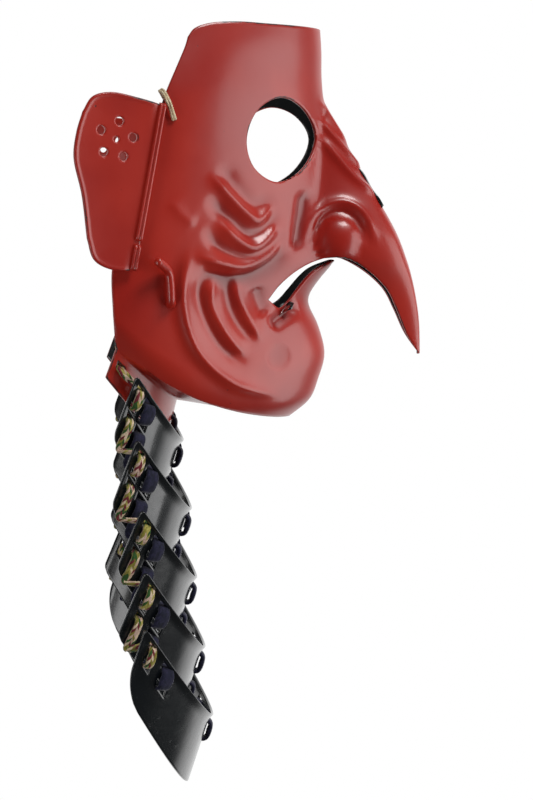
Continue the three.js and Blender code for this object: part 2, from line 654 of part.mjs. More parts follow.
function earHoles() {
  const { back, up, ring } = EAR_HOLES;
  const holes = [[back, up, EAR_HOLES.centreRadius]];
  for (let k = 0; k < 5; k++) {
    const angle = Math.PI / 2 + (2 * Math.PI * k) / 5;
    holes.push([back + ring * Math.cos(angle), up + ring * Math.sin(angle), EAR_HOLES.radius]);
  }
  return holes;
}

// The plate stands on the line where its front edge meets the cheek and flares out backwards.
function earBasis() {
  const low = new THREE.Vector3(EAR.lowX, 40.3, -62.8);
  const high = new THREE.Vector3(EAR.highX, 25.7, 14.4);
  const up = high.clone().sub(low).normalize();
  const level = new THREE.Vector3(0, up.z, -up.y).normalize();
  const back = level.multiplyScalar(Math.cos(EAR.flare)).add(new THREE.Vector3(Math.sin(EAR.flare), 0, 0));
  back.addScaledVector(up, -back.dot(up)).normalize();
  const out = back.clone().cross(up);
  return new THREE.Matrix4().makeBasis(back, up, out).setPosition(low);
}

function earPlate() {
  const plate = new THREE.ExtrudeGeometry(earOutline(), { depth: PLATE_WALL, bevelEnabled: false, curveSegments: 4 });
  const bead = new THREE.CylinderGeometry(EAR.bead, EAR.bead, EAR.height + 3, 6);
  bead.translate(EAR.bead * 0.6, (EAR.height - 3) / 2, PLATE_WALL + 0.1);
  const joined = toGeometry(toSolid(plate).add(toSolid(bead)));
  return joined.applyMatrix4(earBasis());
}

// Where the face's outer surface lies at a point of the side view, moved out by a gap.
function onFace(y, z, out) {
  return new THREE.Vector3(halfWidth(y, z, true) + relief(y, z) + out, y, z);
}

function hookGeometry() {
  const post = onFace(HOOK.postY, HOOK.postZ, 0);
  const route = [
    [-7, 0, 0], [2.6, 0, 0.6], [HOOK.stand, -0.1, 3], [HOOK.stand + 0.4, 0.6, HOOK.rise - 3],
    [HOOK.stand + 2, 1.6, HOOK.rise], [HOOK.stand + 9, 5.5, HOOK.rise + 3.5], [HOOK.stand + 12, 7.2, HOOK.rise + 5],
  ];
  const points = route.map(([x, y, z]) => post.clone().add(new THREE.Vector3(x, y, z)));
  const sideways = new THREE.Vector3(0, 1, -0.2);
  return sweep(stationsAlong(points, () => sideways, 2 * HOOK.radius, 2 * HOOK.radius), ringSection(8));
}

// A short cord ring through a hole near the rear edge and round that edge.
function tieGeometry() {
  const out = TIE.thick / 2 + SEAT_GAP;
  const inside = -(SHELL_WALL + out);
  const route = [
    [TIE.holeY, TIE.holeZ - 1.2, out], [TIE.holeY + 1.5, TIE.holeZ + 3.6, out + 0.6], [TIE.holeY + 3.2, TIE.holeZ + 8, out + 0.6],
    [TIE.holeY + 5, TIE.holeZ + 11.6, out], [TIE.holeY + 6.4, TIE.holeZ + 12.8, out - 2],
    [TIE.holeY + 5.4, TIE.holeZ + 11.4, inside - 0.6], [TIE.holeY + 3.2, TIE.holeZ + 7.6, inside - 1],
    [TIE.holeY + 1, TIE.holeZ + 3, inside - 0.8], [TIE.holeY, TIE.holeZ, inside],
  ];
  const points = route.map(([y, z, x]) => onFace(Math.min(y, TIE.edgeY), z, x).setY(y));
  const across = new THREE.Vector3(0, 0.9, -0.42);
  return sweep(stationsAlong(points, () => across, TIE.thick, TIE.thick, true), ringSection(6), true);
}

function tieTool() {
  const tool = new THREE.CylinderGeometry(TIE.thick * 0.85, TIE.thick * 0.85, 14, 8);
  const at = onFace(TIE.holeY, TIE.holeZ, 0);
  return tool.rotateZ(Math.PI / 2).translate(at.x, at.y, at.z - 0.6);
}

function postTool() {
  const post = onFace(HOOK.postY, HOOK.postZ, 0);
  const tool = new THREE.CylinderGeometry(HOOK.radius + 0.6, HOOK.radius + 0.6, 14, 10);
  return tool.rotateZ(Math.PI / 2).translate(post.x, post.y, post.z + 0.3);
}

function finish(name, geometry, look) {
  const plain = geometry.index ? geometry.toNonIndexed() : geometry;
  plain.computeVertexNormals();
  const mesh = new THREE.Mesh(plain, new THREE.MeshStandardMaterial(look));
  mesh.name = name;
  return mesh;
}

const guard = new THREE.Group();

function addPair(name, geometry, look) {
  guard.add(finish(`${name}_left`, geometry, look));
  guard.add(finish(`${name}_right`, mirrored(geometry), look));
}

guard.add(finish("mask_shell", maskShell(), RED));
addPair("ear_plate", earPlate(), RED);
addPair("cord_hook", hookGeometry(), RED);
addPair("tie_loop", tieGeometry(), CREAM);
LAMES.forEach((lame, i) => {
  const geometry = lameGeometry(lame, i === LAMES.length - 1);
  guard.add(finish(`lame_${i + 1}`, geometry, BLACK));
});
for (const lace of LACES) {
  const look = { color: lace.colour, roughness: 0.95, metalness: 0 };
  guard.add(finish(`${lace.name}_left`, laceGeometry(lace, 1), look));
  guard.add(finish(`${lace.name}_right`, laceGeometry(lace, -1), look));
}
export default guard;
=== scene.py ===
import bpy
import math
import numpy as np
from mathutils import Matrix, Vector
from mathutils.kdtree import KDTree


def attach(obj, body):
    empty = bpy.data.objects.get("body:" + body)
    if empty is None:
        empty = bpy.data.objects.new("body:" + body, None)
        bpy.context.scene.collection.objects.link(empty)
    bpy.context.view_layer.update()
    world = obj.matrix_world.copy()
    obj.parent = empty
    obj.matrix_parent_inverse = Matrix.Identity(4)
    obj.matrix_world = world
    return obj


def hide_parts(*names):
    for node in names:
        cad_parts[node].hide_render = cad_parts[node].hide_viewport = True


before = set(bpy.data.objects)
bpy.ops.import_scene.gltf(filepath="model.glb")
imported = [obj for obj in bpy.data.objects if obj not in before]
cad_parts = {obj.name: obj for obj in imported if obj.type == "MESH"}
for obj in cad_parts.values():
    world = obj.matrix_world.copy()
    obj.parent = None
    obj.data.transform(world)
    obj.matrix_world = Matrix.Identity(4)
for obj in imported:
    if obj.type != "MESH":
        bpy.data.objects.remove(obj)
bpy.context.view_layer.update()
mm = 0.001


def smoothLine(points, closed=False, steps=24):  # centripetal spline as a dense line
    knots = np.array(points, float)
    if closed:
        knots = np.vstack([knots[-1:], knots, knots[:2]])
    else:
        knots = np.vstack([2 * knots[0] - knots[1], knots, 2 * knots[-1] - knots[-2]])
    share = np.linspace(0, 1, steps, endpoint=False)[:, None]
    line = []
    for k in range(len(knots) - 3):
        p0, p1, p2, p3 = knots[k:k + 4]
        pairs = ((p0, p1), (p1, p2), (p2, p3))
        d0, d1, d2 = (max(1e-4, np.linalg.norm(b - a)) ** 0.5 for a, b in pairs)
        t1 = ((p1 - p0) / d0 - (p2 - p0) / (d0 + d1) + (p2 - p1) / d1) * d1
        t2 = ((p2 - p1) / d1 - (p3 - p1) / (d1 + d2) + (p3 - p2) / d2) * d1
        bend = 3 * (p2 - p1) - 2 * t1 - t2
        line.append(p1 + share * t1 + share ** 2 * bend + share ** 3 * (2 * (p1 - p2) + t1 + t2))
    if not closed:
        line.append(knots[-2:-1])
    return np.vstack(line)


def runningLength(line):  # along a line; columns after the third are carried values
    steps = np.linalg.norm(np.diff(line[:, :3], axis=0), axis=1)
    return np.concatenate([[0], np.cumsum(steps)])


def placeAt(line, at):  # points at distances along a line
    length = runningLength(line)
    return np.stack([np.interp(at, length, line[:, k]) for k in range(line.shape[1])], axis=-1)


def placeOn(line, share):  # points at shares of the line's length
    return placeAt(line, np.asarray(share) * runningLength(line)[-1])


def unit(v):
    return v / np.maximum(np.linalg.norm(v, axis=-1, keepdims=True), 1e-9)


def smoothstep(x, low, high):
    t = np.clip((x - low) / (high - low), 0, 1)
    return t * t * (3 - 2 * t)


def joinRows(rows):  # cells between rows of point numbers
    a, b = rows[:-1], rows[1:]
    return np.stack([a[:, :-1], b[:, :-1], b[:, 1:], a[:, 1:]], axis=-1).reshape(-1, 4)


def cellNormals(points, cells):
    a, b, c, d = (points[cells[:, k]] for k in range(4))
    facing = np.cross(c - a, d - b)
    normals = np.zeros_like(points)
    for k in range(4):
        np.add.at(normals, cells[:, k], facing)
    return unit(normals)


def coons(top, bottom, front, rear, across, down):  # fills the patch between four outlines
    s = across[None, :, None]
    r = down[:, None, None]
    sides = (1 - s) * front[:, None] + s * rear[:, None]
    ends = (1 - r) * top[None] + r * bottom[None]
    corners = ((1 - s) * (1 - r) * top[0] + s * (1 - r) * top[-1]
               + (1 - s) * r * bottom[0] + s * r * bottom[-1])
    return sides + ends - corners


def closeWall(points, cells, inner, rimDepth=0.45, rimSteps=4):
    # a sheet and its inner copy become one closed wall whose open edges are rounded
    used = np.unique(cells)
    renumber = np.full(len(points), -1)
    renumber[used] = np.arange(len(used))
    cells = renumber[cells]
    outer, inner = points[used], inner[used]
    count = len(outer)
    normals = cellNormals(outer, cells)
    edges = np.concatenate([np.stack([cells[:, k], cells[:, (k + 1) % 4]], 1) for k in range(4)])
    codes = edges[:, 0] * count + edges[:, 1]
    isOpen = ~np.isin(edges[:, 1] * count + edges[:, 0], codes)
    edges = edges[isOpen]
    outward = np.zeros_like(outer)
    away = np.cross(outer[edges[:, 1]] - outer[edges[:, 0]], normals[edges[:, 0]])
    np.add.at(outward, edges[:, 0], away)
    np.add.at(outward, edges[:, 1], away)
    rim = np.unique(edges)
    place = np.full(count, -1)
    place[rim] = np.arange(len(rim))
    middle = (outer[rim] + inner[rim]) / 2
    half = (outer[rim] - inner[rim]) / 2
    push = unit(outward[rim]) * rimDepth
    rings = [rim]
    allPoints = [outer, inner]
    start = 2 * count
    for step in range(1, rimSteps):
        angle = math.pi * step / rimSteps
        allPoints.append(middle + half * math.cos(angle) + push * math.sin(angle))
        rings.append(start + np.arange(len(rim)))
        start += len(rim)
    rings.append(rim + count)
    faces = [cells, cells[:, ::-1] + count]
    for upper, lower in zip(rings[:-1], rings[1:]):
        a, b = place[edges[:, 0]], place[edges[:, 1]]
        faces.append(np.stack([upper[b], upper[a], lower[a], lower[b]], 1))
    faces = np.concatenate(faces)
    innerFace = np.zeros(len(faces), int)
    innerFace[len(cells):2 * len(cells)] = 1
    return np.concatenate(allPoints), faces, innerFace, outer[rim]


def makePiece(name, points, faces, finishes, faceFinish=None, marks=None):
    mesh = bpy.data.meshes.new(name)
    mesh.from_pydata((np.asarray(points) * mm).tolist(), [], [list(f) for f in faces])
    for finish in finishes:
        mesh.materials.append(finish)
    if faceFinish is not None:
        mesh.polygons.foreach_set("material_index", np.asarray(faceFinish, np.int32))
    for key, values in (marks or {}).items():
        flat = np.asarray(values, np.float32)
        kind = "FLOAT" if flat.ndim == 1 else "FLOAT_VECTOR"
        layer = mesh.attributes.new(key, kind, "POINT")
        layer.data.foreach_set("value" if flat.ndim == 1 else "vector", flat.ravel())
    mesh.shade_smooth()
    mesh.update()
    piece = bpy.data.objects.new(name, mesh)
    bpy.context.scene.collection.objects.link(piece)
    return piece


def rimDistance(points, rim, reach=12):  # how far each point lies from the nearest open edge
    tree = KDTree(len(rim))
    for k, p in enumerate(rim):
        tree.insert(p, k)
    tree.balance()
    return np.array([min(reach, tree.find(p)[2]) for p in points])


def facingOut(points, faces):  # turns the faces round if they enclose a negative volume
    total = 0
    for f in faces:
        for k in range(1, len(f) - 1):
            total += np.dot(points[f[0]], np.cross(points[f[k]], points[f[k + 1]]))
    return [f[::-1] for f in faces] if total < 0 else faces


def settle(piece, slot, *nodes):
    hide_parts(*nodes)
    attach(piece, "root")


def settlePair(name, node, slot, finish, points, faces, marks):  # a left piece and its mirror image
    mirrored = points * [-1, 1, 1], [list(f)[::-1] for f in faces]
    for side, (sidePoints, sideFaces) in (("left", (points, faces)), ("right", mirrored)):
        piece = makePiece(f"{name}_{side}", sidePoints, sideFaces, [finish], None, marks)
        settle(piece, slot, f"{node}_{side}")


class Value:  # one output of a node, with sums on it
    def __init__(self, network, socket):
        self.network = network
        self.socket = socket

    def maths(self, operation, *values):
        return self.network.node("ShaderNodeMath", {"operation": operation}, dict(enumerate(values)))

    def __add__(self, other):
        return self.maths("ADD", self, other)

    def __radd__(self, other):
        return self.maths("ADD", other, self)

    def __sub__(self, other):
        return self.maths("SUBTRACT", self, other)

    def __rsub__(self, other):
        return self.maths("SUBTRACT", other, self)

    def __mul__(self, other):
        return self.maths("MULTIPLY", self, other)

    def __rmul__(self, other):
        return self.maths("MULTIPLY", other, self)

    def larger(self, other):
        return self.maths("MAXIMUM", self, other)

    def whole(self):
        return self.maths("FLOOR", self)

    def over(self, low, high, least=0.0, most=1.0):  # least below low, most above high
        return self.network.node("ShaderNodeMapRange", {"interpolation_type": "SMOOTHSTEP", "clamp": True}, {
            "Value": self, "From Min": low, "From Max": high, "To Min": least, "To Max": most})


class Network:  # the nodes of one material or world
    def __init__(self, tree):
        self.tree = tree
        tree.nodes.clear()

    def node(self, kind, settings=None, inputs=None, output=None):
        node = self.tree.nodes.new(kind)
        for key, value in (settings or {}).items():
            if key == "stops":
                while len(node.color_ramp.elements) < len(value):
                    node.color_ramp.elements.new(0.5)
                for element, (place, colour) in zip(node.color_ramp.elements, value):
                    element.position = place
                    element.color = (*colour, 1)
            elif key == "ramp":
                node.color_ramp.interpolation = value
            else:
                setattr(node, key, value)
        for key, value in (inputs or {}).items():
            self.fill(node, key, value)
        shown = [s for s in node.outputs if s.enabled]
        return Value(self, next((s for s in shown if s.name == output), shown[0])) if shown else None

    def fill(self, node, key, value):
        shown = [s for s in node.inputs if s.enabled]
        socket = shown[key] if isinstance(key, int) else next(s for s in shown if s.name == key)
        if isinstance(value, Value):
            self.tree.links.new(value.socket, socket)
        elif socket.type == "RGBA" and hasattr(value, "__len__"):
            socket.default_value = (*value, 1)
        else:
            socket.default_value = value


class Finish(Network):  # a material with one main shader
    def __init__(self, name, **sockets):
        self.material = bpy.data.materials.new(name)
        self.material.use_nodes = True
        super().__init__(self.material.node_tree)
        self.shader = self.tree.nodes.new("ShaderNodeBsdfPrincipled")
        output = self.tree.nodes.new("ShaderNodeOutputMaterial")
        self.tree.links.new(self.shader.outputs["BSDF"], output.inputs["Surface"])
        for key, value in sockets.items():
            self.shader.inputs[key.replace("_", " ")].default_value = value

    def mark(self, name, output="Fac"):
        return self.node("ShaderNodeAttribute", {"attribute_name": name}, output=output)

    def where(self):
        return self.node("ShaderNodeTexCoord", output="Object")

    def grain(self, scale, detail=3.0, roughness=0.55):
        return self.node("ShaderNodeTexNoise", None, {
            "Vector": self.where(), "Scale": scale, "Detail": detail, "Roughness": roughness}, "Fac")

    def blend(self, share, a, b, way="MIX"):
        return self.node("ShaderNodeMix", {"data_type": "RGBA", "blend_type": way},
                         {"Factor": share, "A": a, "B": b}, "Result")

    def bump(self, height, distance, strength, under=None):
        inputs = {"Height": height, "Distance": distance, "Strength": strength}
        if under:
            inputs["Normal"] = under
        return self.node("ShaderNodeBump", None, inputs)

    def ripple(self, look):  # slow waves and a fine grain in a lacquered surface
        waves = self.bump(self.grain(look["waveScale"], 2), look["waveDepth"], 0.5)
        return self.bump(self.grain(look["fineScale"], 2), look["fineDepth"], 0.4, waves)

    def set(self, key, value):
        self.fill(self.shader, key, value)


redLook = {
    # the darker red is painted shade for the grooves, reaching full strength at the given groove depth
    "colour": (0.365, 0.0125, 0.0065), "grooveShadeRed": (0.2, 0.0055, 0.0035), "bright": (0.47, 0.024, 0.012),
    "chip": (0.012, 0.007, 0.006), "roughness": 0.3, "coat": 0.4, "coatRoughness": 0.16,
    "cloudScale": 14, "cloud": (0.35, 0.7), "grooveShadeDepth": 2.4, "grooveShadeShare": 0.75,
    "speckScale": 115.0, "speckSize": (0.03, 0.085), "speckPatch": 60, "speckRarity": (0.56, 0.66),
    "speckShare": 0.8,
    "chipGrain": 260, "chipReach": 1.6, "chipEdge": (1.0, 1.25), "chipPatch": 42, "chipRarity": (0.52, 0.6),
    "chipRoughness": 0.25, "chipDepth": 0.00008,
    "rubScale": 33, "rub": 0.1, "waveScale": 55, "waveDepth": 0.00035, "fineScale": 900, "fineDepth": 0.00002,
}


def redLacquer():
    look = redLook
    f = Finish("red_lacquer", IOR=1.5, Coat_IOR=1.5, Coat_Weight=look["coat"],
               Coat_Roughness=look["coatRoughness"])
    base = f.blend(f.grain(look["cloudScale"]).over(*look["cloud"]), look["colour"], look["bright"])
    # painted shade: the base colour turns to a darker red where the shell's relief sinks into grooves
    depth = f.mark("hollow").over(0.0, look["grooveShadeDepth"])
    base = f.blend(depth * look["grooveShadeShare"], base, look["grooveShadeRed"])
    cells = f.node("ShaderNodeTexVoronoi", {"feature": "F1"}, {
        "Vector": f.where(), "Scale": look["speckScale"], "Randomness": 1.0}, "Distance")
    rare = f.grain(look["speckPatch"], 2).over(*look["speckRarity"])
    speck = (1 - cells.over(*look["speckSize"])) * rare
    fromEdge = f.mark("edge") + f.grain(look["chipGrain"], 4) * look["chipReach"]
    patch = f.grain(look["chipPatch"], 3).over(*look["chipRarity"])
    dark = (speck * look["speckShare"]).larger((1 - fromEdge.over(*look["chipEdge"])) * patch)
    f.set("Base Color", f.blend(dark, base, look["chip"]))
    rub = f.grain(look["rubScale"], 5) * look["rub"]
    f.set("Roughness", look["roughness"] + rub + dark * look["chipRoughness"])
    f.set("Normal", f.bump(1 - dark, look["chipDepth"], 0.8, f.ripple(look)))
    return f.material


blackLook = {
    "colour": (0.006, 0.008, 0.0095), "dustColour": (0.03, 0.034, 0.034), "roughness": 0.22,
    "coat": 0.5, "coatRoughness": 0.1, "dustScale": 22, "dust": (0.5, 0.85), "dustShare": 0.5,
    "dustRoughness": 0.14, "scuffScale": 180, "scuff": (0.62, 0.74), "scuffShare": 0.25,
    "scuffRoughness": 0.12, "waveScale": 70, "waveDepth": 0.0004, "fineScale": 1100, "fineDepth": 0.00002,
}


def blackLacquer():
    look = blackLook
    f = Finish("black_lacquer", IOR=1.55, Coat_IOR=1.5, Coat_Weight=look["coat"],
               Coat_Roughness=look["coatRoughness"])
    dust = f.grain(look["dustScale"], 5).over(*look["dust"])
    scuff = f.grain(look["scuffScale"], 4).over(*look["scuff"])
    grey = dust * look["dustShare"] + scuff * look["scuffShare"]
    f.set("Base Color", f.blend(grey, look["colour"], look["dustColour"]))
    f.set("Roughness", look["roughness"] + dust * look["dustRoughness"] + scuff * look["scuffRoughness"])
    f.set("Normal", f.ripple(look))
    return f.material


braidLook = {
    "fuzzScale": 1500, "fuzz": (0.3, 0.7), "dim": (0.55, 0.55, 0.55), "lit": (1.25, 1.25, 1.25),
    "fuzzShare": 0.6, "fuzzSmooth": 0.15, "fuzzDepth": 0.00012, "stitchSeed": 0.37, "columnSeed": 5.31,
    "sheenRoughness": 0.4, "specular": 0.25,
}


def braidFinish(name, colours, roughness=0.85, sheen=0.3):
    # plait holds the stitch's number along its column, and the column's number
    look = braidLook
    f = Finish(name, IOR=1.4, Sheen_Weight=sheen, Sheen_Roughness=look["sheenRoughness"],
               Specular_IOR_Level=look["specular"])
    plait = f.mark("plait", "Vector")
    stitch = f.node("ShaderNodeSeparateXYZ", None, {"Vector": plait}, "X").whole()
    column = f.node("ShaderNodeSeparateXYZ", None, {"Vector": plait}, "Y").whole()
    seed = stitch * look["stitchSeed"] + column * look["columnSeed"]
    pick = f.node("ShaderNodeTexWhiteNoise", {"noise_dimensions": "1D"}, {"W": seed}, "Value")
    stops = [(k / len(colours), colour) for k, colour in enumerate(colours)]
    yarn = f.node("ShaderNodeValToRGB", {"stops": stops, "ramp": "CONSTANT"}, {"Fac": pick}, "Color")
    fuzz = f.grain(look["fuzzScale"], 3)
    shade = f.blend(fuzz.over(*look["fuzz"]), look["dim"], look["lit"])
    f.set("Base Color", f.blend(look["fuzzShare"], yarn, shade, "MULTIPLY"))
    f.set("Roughness", roughness - fuzz * look["fuzzSmooth"])
    f.set("Normal", f.bump(fuzz, look["fuzzDepth"], look["fuzzShare"]))
    return f.material


red = redLacquer()
black = blackLacquer()
navyYarn = braidFinish("navy_braid", [
    (0.010, 0.011, 0.030), (0.014, 0.014, 0.038), (0.008, 0.009, 0.024), (0.018, 0.017, 0.045)])
mixedYarn = braidFinish("mixed_braid", [
    (0.70, 0.55, 0.38), (0.23, 0.20, 0.035), (0.03, 0.09, 0.018), (0.60, 0.42, 0.33), (0.16, 0.02, 0.03),
    (0.38, 0.33, 0.08)])
creamYarn = braidFinish("cream_cord", [(0.80, 0.66, 0.43), (0.76, 0.61, 0.38), (0.84, 0.72, 0.50)], 0.8, 0.2)
print("finishes ready")

faceShape = {
    # z, then y of the ridge, face and rear, half width, bluntness and the nose's half width
    "levels": [
        (61, -62.1, -62.1, 12, 60, 0.65, 12), (49, -62.9, -62.9, 12.1, 62, 0.62, 12),
        (36, -63, -63, 17.2, 66, 0.58, 12), (22, -64.4, -64.4, 23.3, 70, 0.52, 13),
        (10, -70.6, -65, 27.5, 72, 0.5, 15), (-5, -78.8, -66, 32.5, 73, 0.5, 16),
        (-20, -87.6, -67, 37.2, 74, 0.5, 17.5), (-35, -97.5, -68, 41.8, 75, 0.5, 19.5),
        (-50, -105.8, -69, 46.5, 76, 0.5, 21), (-64, -111.2, -70.3, 50.8, 76, 0.52, 19.8),
        (-72, -113.8, -63.6, 51.5, 76, 0.55, 14.9), (-85, -116.7, -55.7, 51, 75.5, 0.55, 10.2),
        (-98, -118.5, -61.2, 50.5, 73.5, 0.58, 8.2), (-115, -119, -65.4, 50.1, 71, 0.6, 5),
        (-129, -119, -61.7, 50, 71, 0.6, 5), (-141, -119, -56.7, 50, 71, 0.6, 5),
        (-149.4, -119, -45.7, 50, 71, 0.6, 5)],
    "noseRounding": 18.6, "creaseSharpness": 12, "jawTuck": 4.5, "jawTuckHeight": 15,
    "wall": 1.8,
    "halfColumns": 96, "upperRows": 112, "lowerRows": 52, "floorRows": 8, "flangeRows": 14,
    "cornerShare": 0.4, "crowding": 0.8, "lipCrowding": 1.25, "flangeEase": 0.1,
    # the level table's range and step in z, and its blur: reach and spread in steps
    "tableRange": (-160, 72), "tableStep": 0.5, "blurReach": 14, "blurSpread": 5,
    # beside the ridge the wall is thinner than this share of the room to the mid-plane
    "ridgeRoom": 4, "leastSlope": 0.05, "roomShare": 0.45,
}
levelNames = ["z", "ridge", "face", "rear", "half", "blunt", "nose"]
faceLines = {  # y and z in side view
    "topEdge": [(-62.1, 60.7), (-30, 59), (-14, 58.4), (1.7, 56.3), (9, 53.2), (12.1, 49)],
    "beakEdge": [(-118.9, -115.3), (-111, -104), (-104.8, -90.3), (-98.8, -79), (-84, -66.4), (-71, -61.2),
                 (-57.2, -63.5), (-46, -69), (-35.7, -77.5), (-30.9, -83.8)],
    "lowerLip": [(-70.3, -63.7), (-58, -69.7), (-47, -81.5), (-42.3, -86.9), (-37.7, -88.6), (-30.9, -83.8)],
    "cornerToRear": [(-30.9, -83.8), (-10, -81), (20, -80), (51.4, -80)],
    "jawEdge": [(-45.7, -149.4), (-34, -147.9), (-14.4, -143.2), (11, -133.2), (35.6, -117.5), (50.1, -105)],
    "eyeHole": [(-58.4, 6), (-50.5, 17.8), (-38.1, 22.3), (-23.8, 14.5), (-17.7, -1.5), (-22, -15.2),
                (-34.5, -22.3), (-48, -17), (-57, -5)],
}
# name, height, half width on the rear or lower side and on the other, path in side view
folds = [
    ("lower lid groove", -1.2, 4, 5, [(-3, -13), (-13, -27), (-24, -34), (-34, -28)]),
    ("lid fold", 2.4, 3.4, 4.5, [(3, -18), (-8.2, -29.6), (-17, -38), (-24, -42), (-33.3, -32.3)]),
    ("lid groove", -2, 4, 4, [(4, -29), (-9.2, -40.8), (-20, -49.5), (-29.4, -45), (-35, -35)]),
    ("middle fold", 2.4, 3.4, 4.5, [(-1, -41), (-12.4, -51.6), (-22, -56), (-30.5, -50), (-34.5, -41)]),
    ("middle groove", -2, 3.5, 4, [(6, -45), (-5.4, -56.7), (-20, -61.5), (-34.9, -53.2), (-40.5, -46)]),
    ("pouch fold", 2.6, 3, 5, [(12, -59), (-2, -63.5), (-16, -65.5), (-30, -60), (-40, -49)]),
    ("pouch shadow", -2.2, 7, 3, [(10, -67), (-5, -71.5), (-20, -70), (-34, -62), (-42, -52)]),
    ("temple line", 0.8, 3, 5, [(23, -32), (16, -40), (9, -45)]),
    ("long fold", 3.6, 3, 7, [(11, -54), (17.4, -80), (10, -107.8), (-8, -125.5), (-39.5, -136.8)]),
    ("long groove", -1.8, 4, 4, [(6.5, -66), (6.4, -82), (-4.7, -106.4), (-20, -118)]),
    ("second fold", 2.6, 3, 5, [(-2, -68), (2.3, -83), (-7.4, -102.8), (-19, -114)]),
    ("second groove", -1.8, 4, 4, [(-9.7, -71), (-9.6, -83), (-14, -94), (-25, -107)]),
    ("third fold", 2.4, 3, 5, [(-14.5, -70.5), (-12.4, -79), (-18, -93), (-27, -106)]),
    ("third groove", -1.5, 4, 4, [(-23, -76), (-26, -85), (-29.5, -92)]),
    ("under-lip groove", -2.4, 4, 4, [(-31, -98), (-39.5, -92.5), (-48, -86.5)]),
    ("cheek crease", -3, 3.5, 3, [(-52, -24), (-49.5, -40), (-46, -60)]),
    ("nostril ring", 1.8, 2.6, 2.6, [(-51.5, -56), (-59, -37), (-72, -31.5), (-84, -37), (-92, -57)]),
    ("nostril groove", -1.6, 2.4, 2.4, [(-55, -56), (-61, -41), (-71, -36), (-81, -41), (-86, -55)]),
    ("first wrinkle", 1.6, 2.2, 3, [(-60, 24), (-66, 15), (-73, 5), (-81, -3)]),
    ("second wrinkle", 1.8, 2.2, 3, [(-58, 15), (-66, 6), (-76, -5), (-88, -17)]),
    ("third wrinkle", 2, 2.4, 3.4, [(-58, 6), (-69.5, -7), (-81, -19.5), (-95, -30)]),
]
# fade at the ends, share of a keen crest, how round and wide that crest is, pieces of a path
foldLook = {"fade": 0.22, "crest": 0.9, "crestRound": 0.5, "crestLift": 0.7, "crestWidth": 0.62, "steps": 41}
bumps = [  # y, z, half sizes, height: the nostril and the dimple in the chin
    (-70, -52, 12, 12, 4.5),
    (-36.7, -114.6, 7, 7, -1),
]
bumpPower = 0.6
throat = {  # half width, rear y and z, front y and z, swing of the left end
    "line": (67, 49.5, -107, 17, -139.5, 0), "edge": (66, 55, -121.5, 23, -163, 0),
}
arcTurn = math.radians(72)


def levelTable():  # the levels at fine steps of z, smoothed
    rows = np.array(faceShape["levels"], float)[::-1]
    fine = np.arange(*faceShape["tableRange"], faceShape["tableStep"])
    reach = faceShape["blurReach"]
    slopes = np.vstack([
        (rows[1] - rows[0]) / (rows[1, 0] - rows[0, 0]),
        (rows[2:] - rows[:-2]) / (rows[2:, :1] - rows[:-2, :1]),
        (rows[-1] - rows[-2]) / (rows[-1, 0] - rows[-2, 0])])
    z = np.clip(fine, rows[0, 0], rows[-1, 0])
    k = np.clip(np.searchsorted(rows[:, 0], z, side="right") - 1, 0, len(rows) - 2)
    span = rows[k + 1, 0] - rows[k, 0]
    t = (z - rows[k, 0]) / span
    kernel = np.exp(-0.5 * (np.arange(-reach, reach + 1) / faceShape["blurSpread"]) ** 2)
    kernel /= kernel.sum()
    table = [fine]
    for c in range(1, rows.shape[1]):
        values = ((2 * t ** 3 - 3 * t ** 2 + 1) * rows[k, c] + (t ** 3 - 2 * t ** 2 + t) * span * slopes[k, c]
                  + (3 * t ** 2 - 2 * t ** 3) * rows[k + 1, c] + (t ** 3 - t ** 2) * span * slopes[k + 1, c])
        values = values + slopes[np.where(fine < rows[0, 0], 0, -1), c] * (fine - z)
        table.append(np.convolve(np.pad(values, reach, "edge"), kernel, "valid"))
    return np.array(table)


levels = levelTable()
jawLine = smoothLine(faceLines["jawEdge"])


def level(name, z):
    return np.interp(z, levels[0], levels[levelNames.index(name)])


def jawTuck(y, z):
    share = np.clip((y - jawLine[0, 0]) / (jawLine[-1, 0] - jawLine[0, 0]), 0, 1)
    height = z - np.interp(y, jawLine[:, 0], jawLine[:, 1])
    near = np.clip(1 - height / faceShape["jawTuckHeight"], 0, 1)
    return faceShape["jawTuck"] * near ** 2 * np.minimum(1, 4 * share)


def halfWidth(y, z, withNose=True):
    front = level("face", z)
    t = np.clip((y - front) / (level("rear", z) - front), 0, None)
    blunt = level("blunt", z)
    rounded = blunt * np.sqrt(t) + (1 - blunt) * (1.5 * t - 0.5 * t ** 3)
    face = np.maximum(0, np.where(t > 0, level("half", z) * rounded - jawTuck(y, z), 0))
    if not withNose:
        return face
    depth = np.maximum(0, y - level("ridge", z))
    nose = level("nose", z) * np.sqrt(depth / (depth + faceShape["noseRounding"]))
    sharp = faceShape["creaseSharpness"]
    return (face ** sharp + nose ** sharp) ** (1 / sharp)


def foldHeight(fold, y, z, crest):
    name, height, outer, inner, path = fold
    line = placeOn(smoothLine(path), np.linspace(0, 1, foldLook["steps"]))
    best = np.full(y.shape, np.inf)
    along = np.zeros(y.shape)
    turn = np.zeros(y.shape)
    for i in range(len(line) - 1):
        (ay, az), (by, bz) = line[i], line[i + 1]
        dy, dz = by - ay, bz - az
        t = np.clip(((y - ay) * dy + (z - az) * dz) / (dy * dy + dz * dz), 0, 1)
        gap = np.hypot(y - ay - t * dy, z - az - t * dz)
        near = gap < best
        best = np.where(near, gap, best)
        along = np.where(near, (i + t) / (len(line) - 1), along)
        turn = np.where(near, np.sign(dy * (z - az) - dz * (y - ay)), turn)
    width = np.where(turn > 0, outer, inner)
    fade = smoothstep(np.minimum(along, 1 - along), 0, foldLook["fade"])
    soft = np.exp(-(best / width) ** 2)
    if height > 0 and crest:
        rounded = np.sqrt(best ** 2 + foldLook["crestRound"]) - foldLook["crestLift"]
        keen = np.exp(-rounded / (width * foldLook["crestWidth"]))
        soft = (1 - crest) * soft + crest * keen
    return height * fade * soft


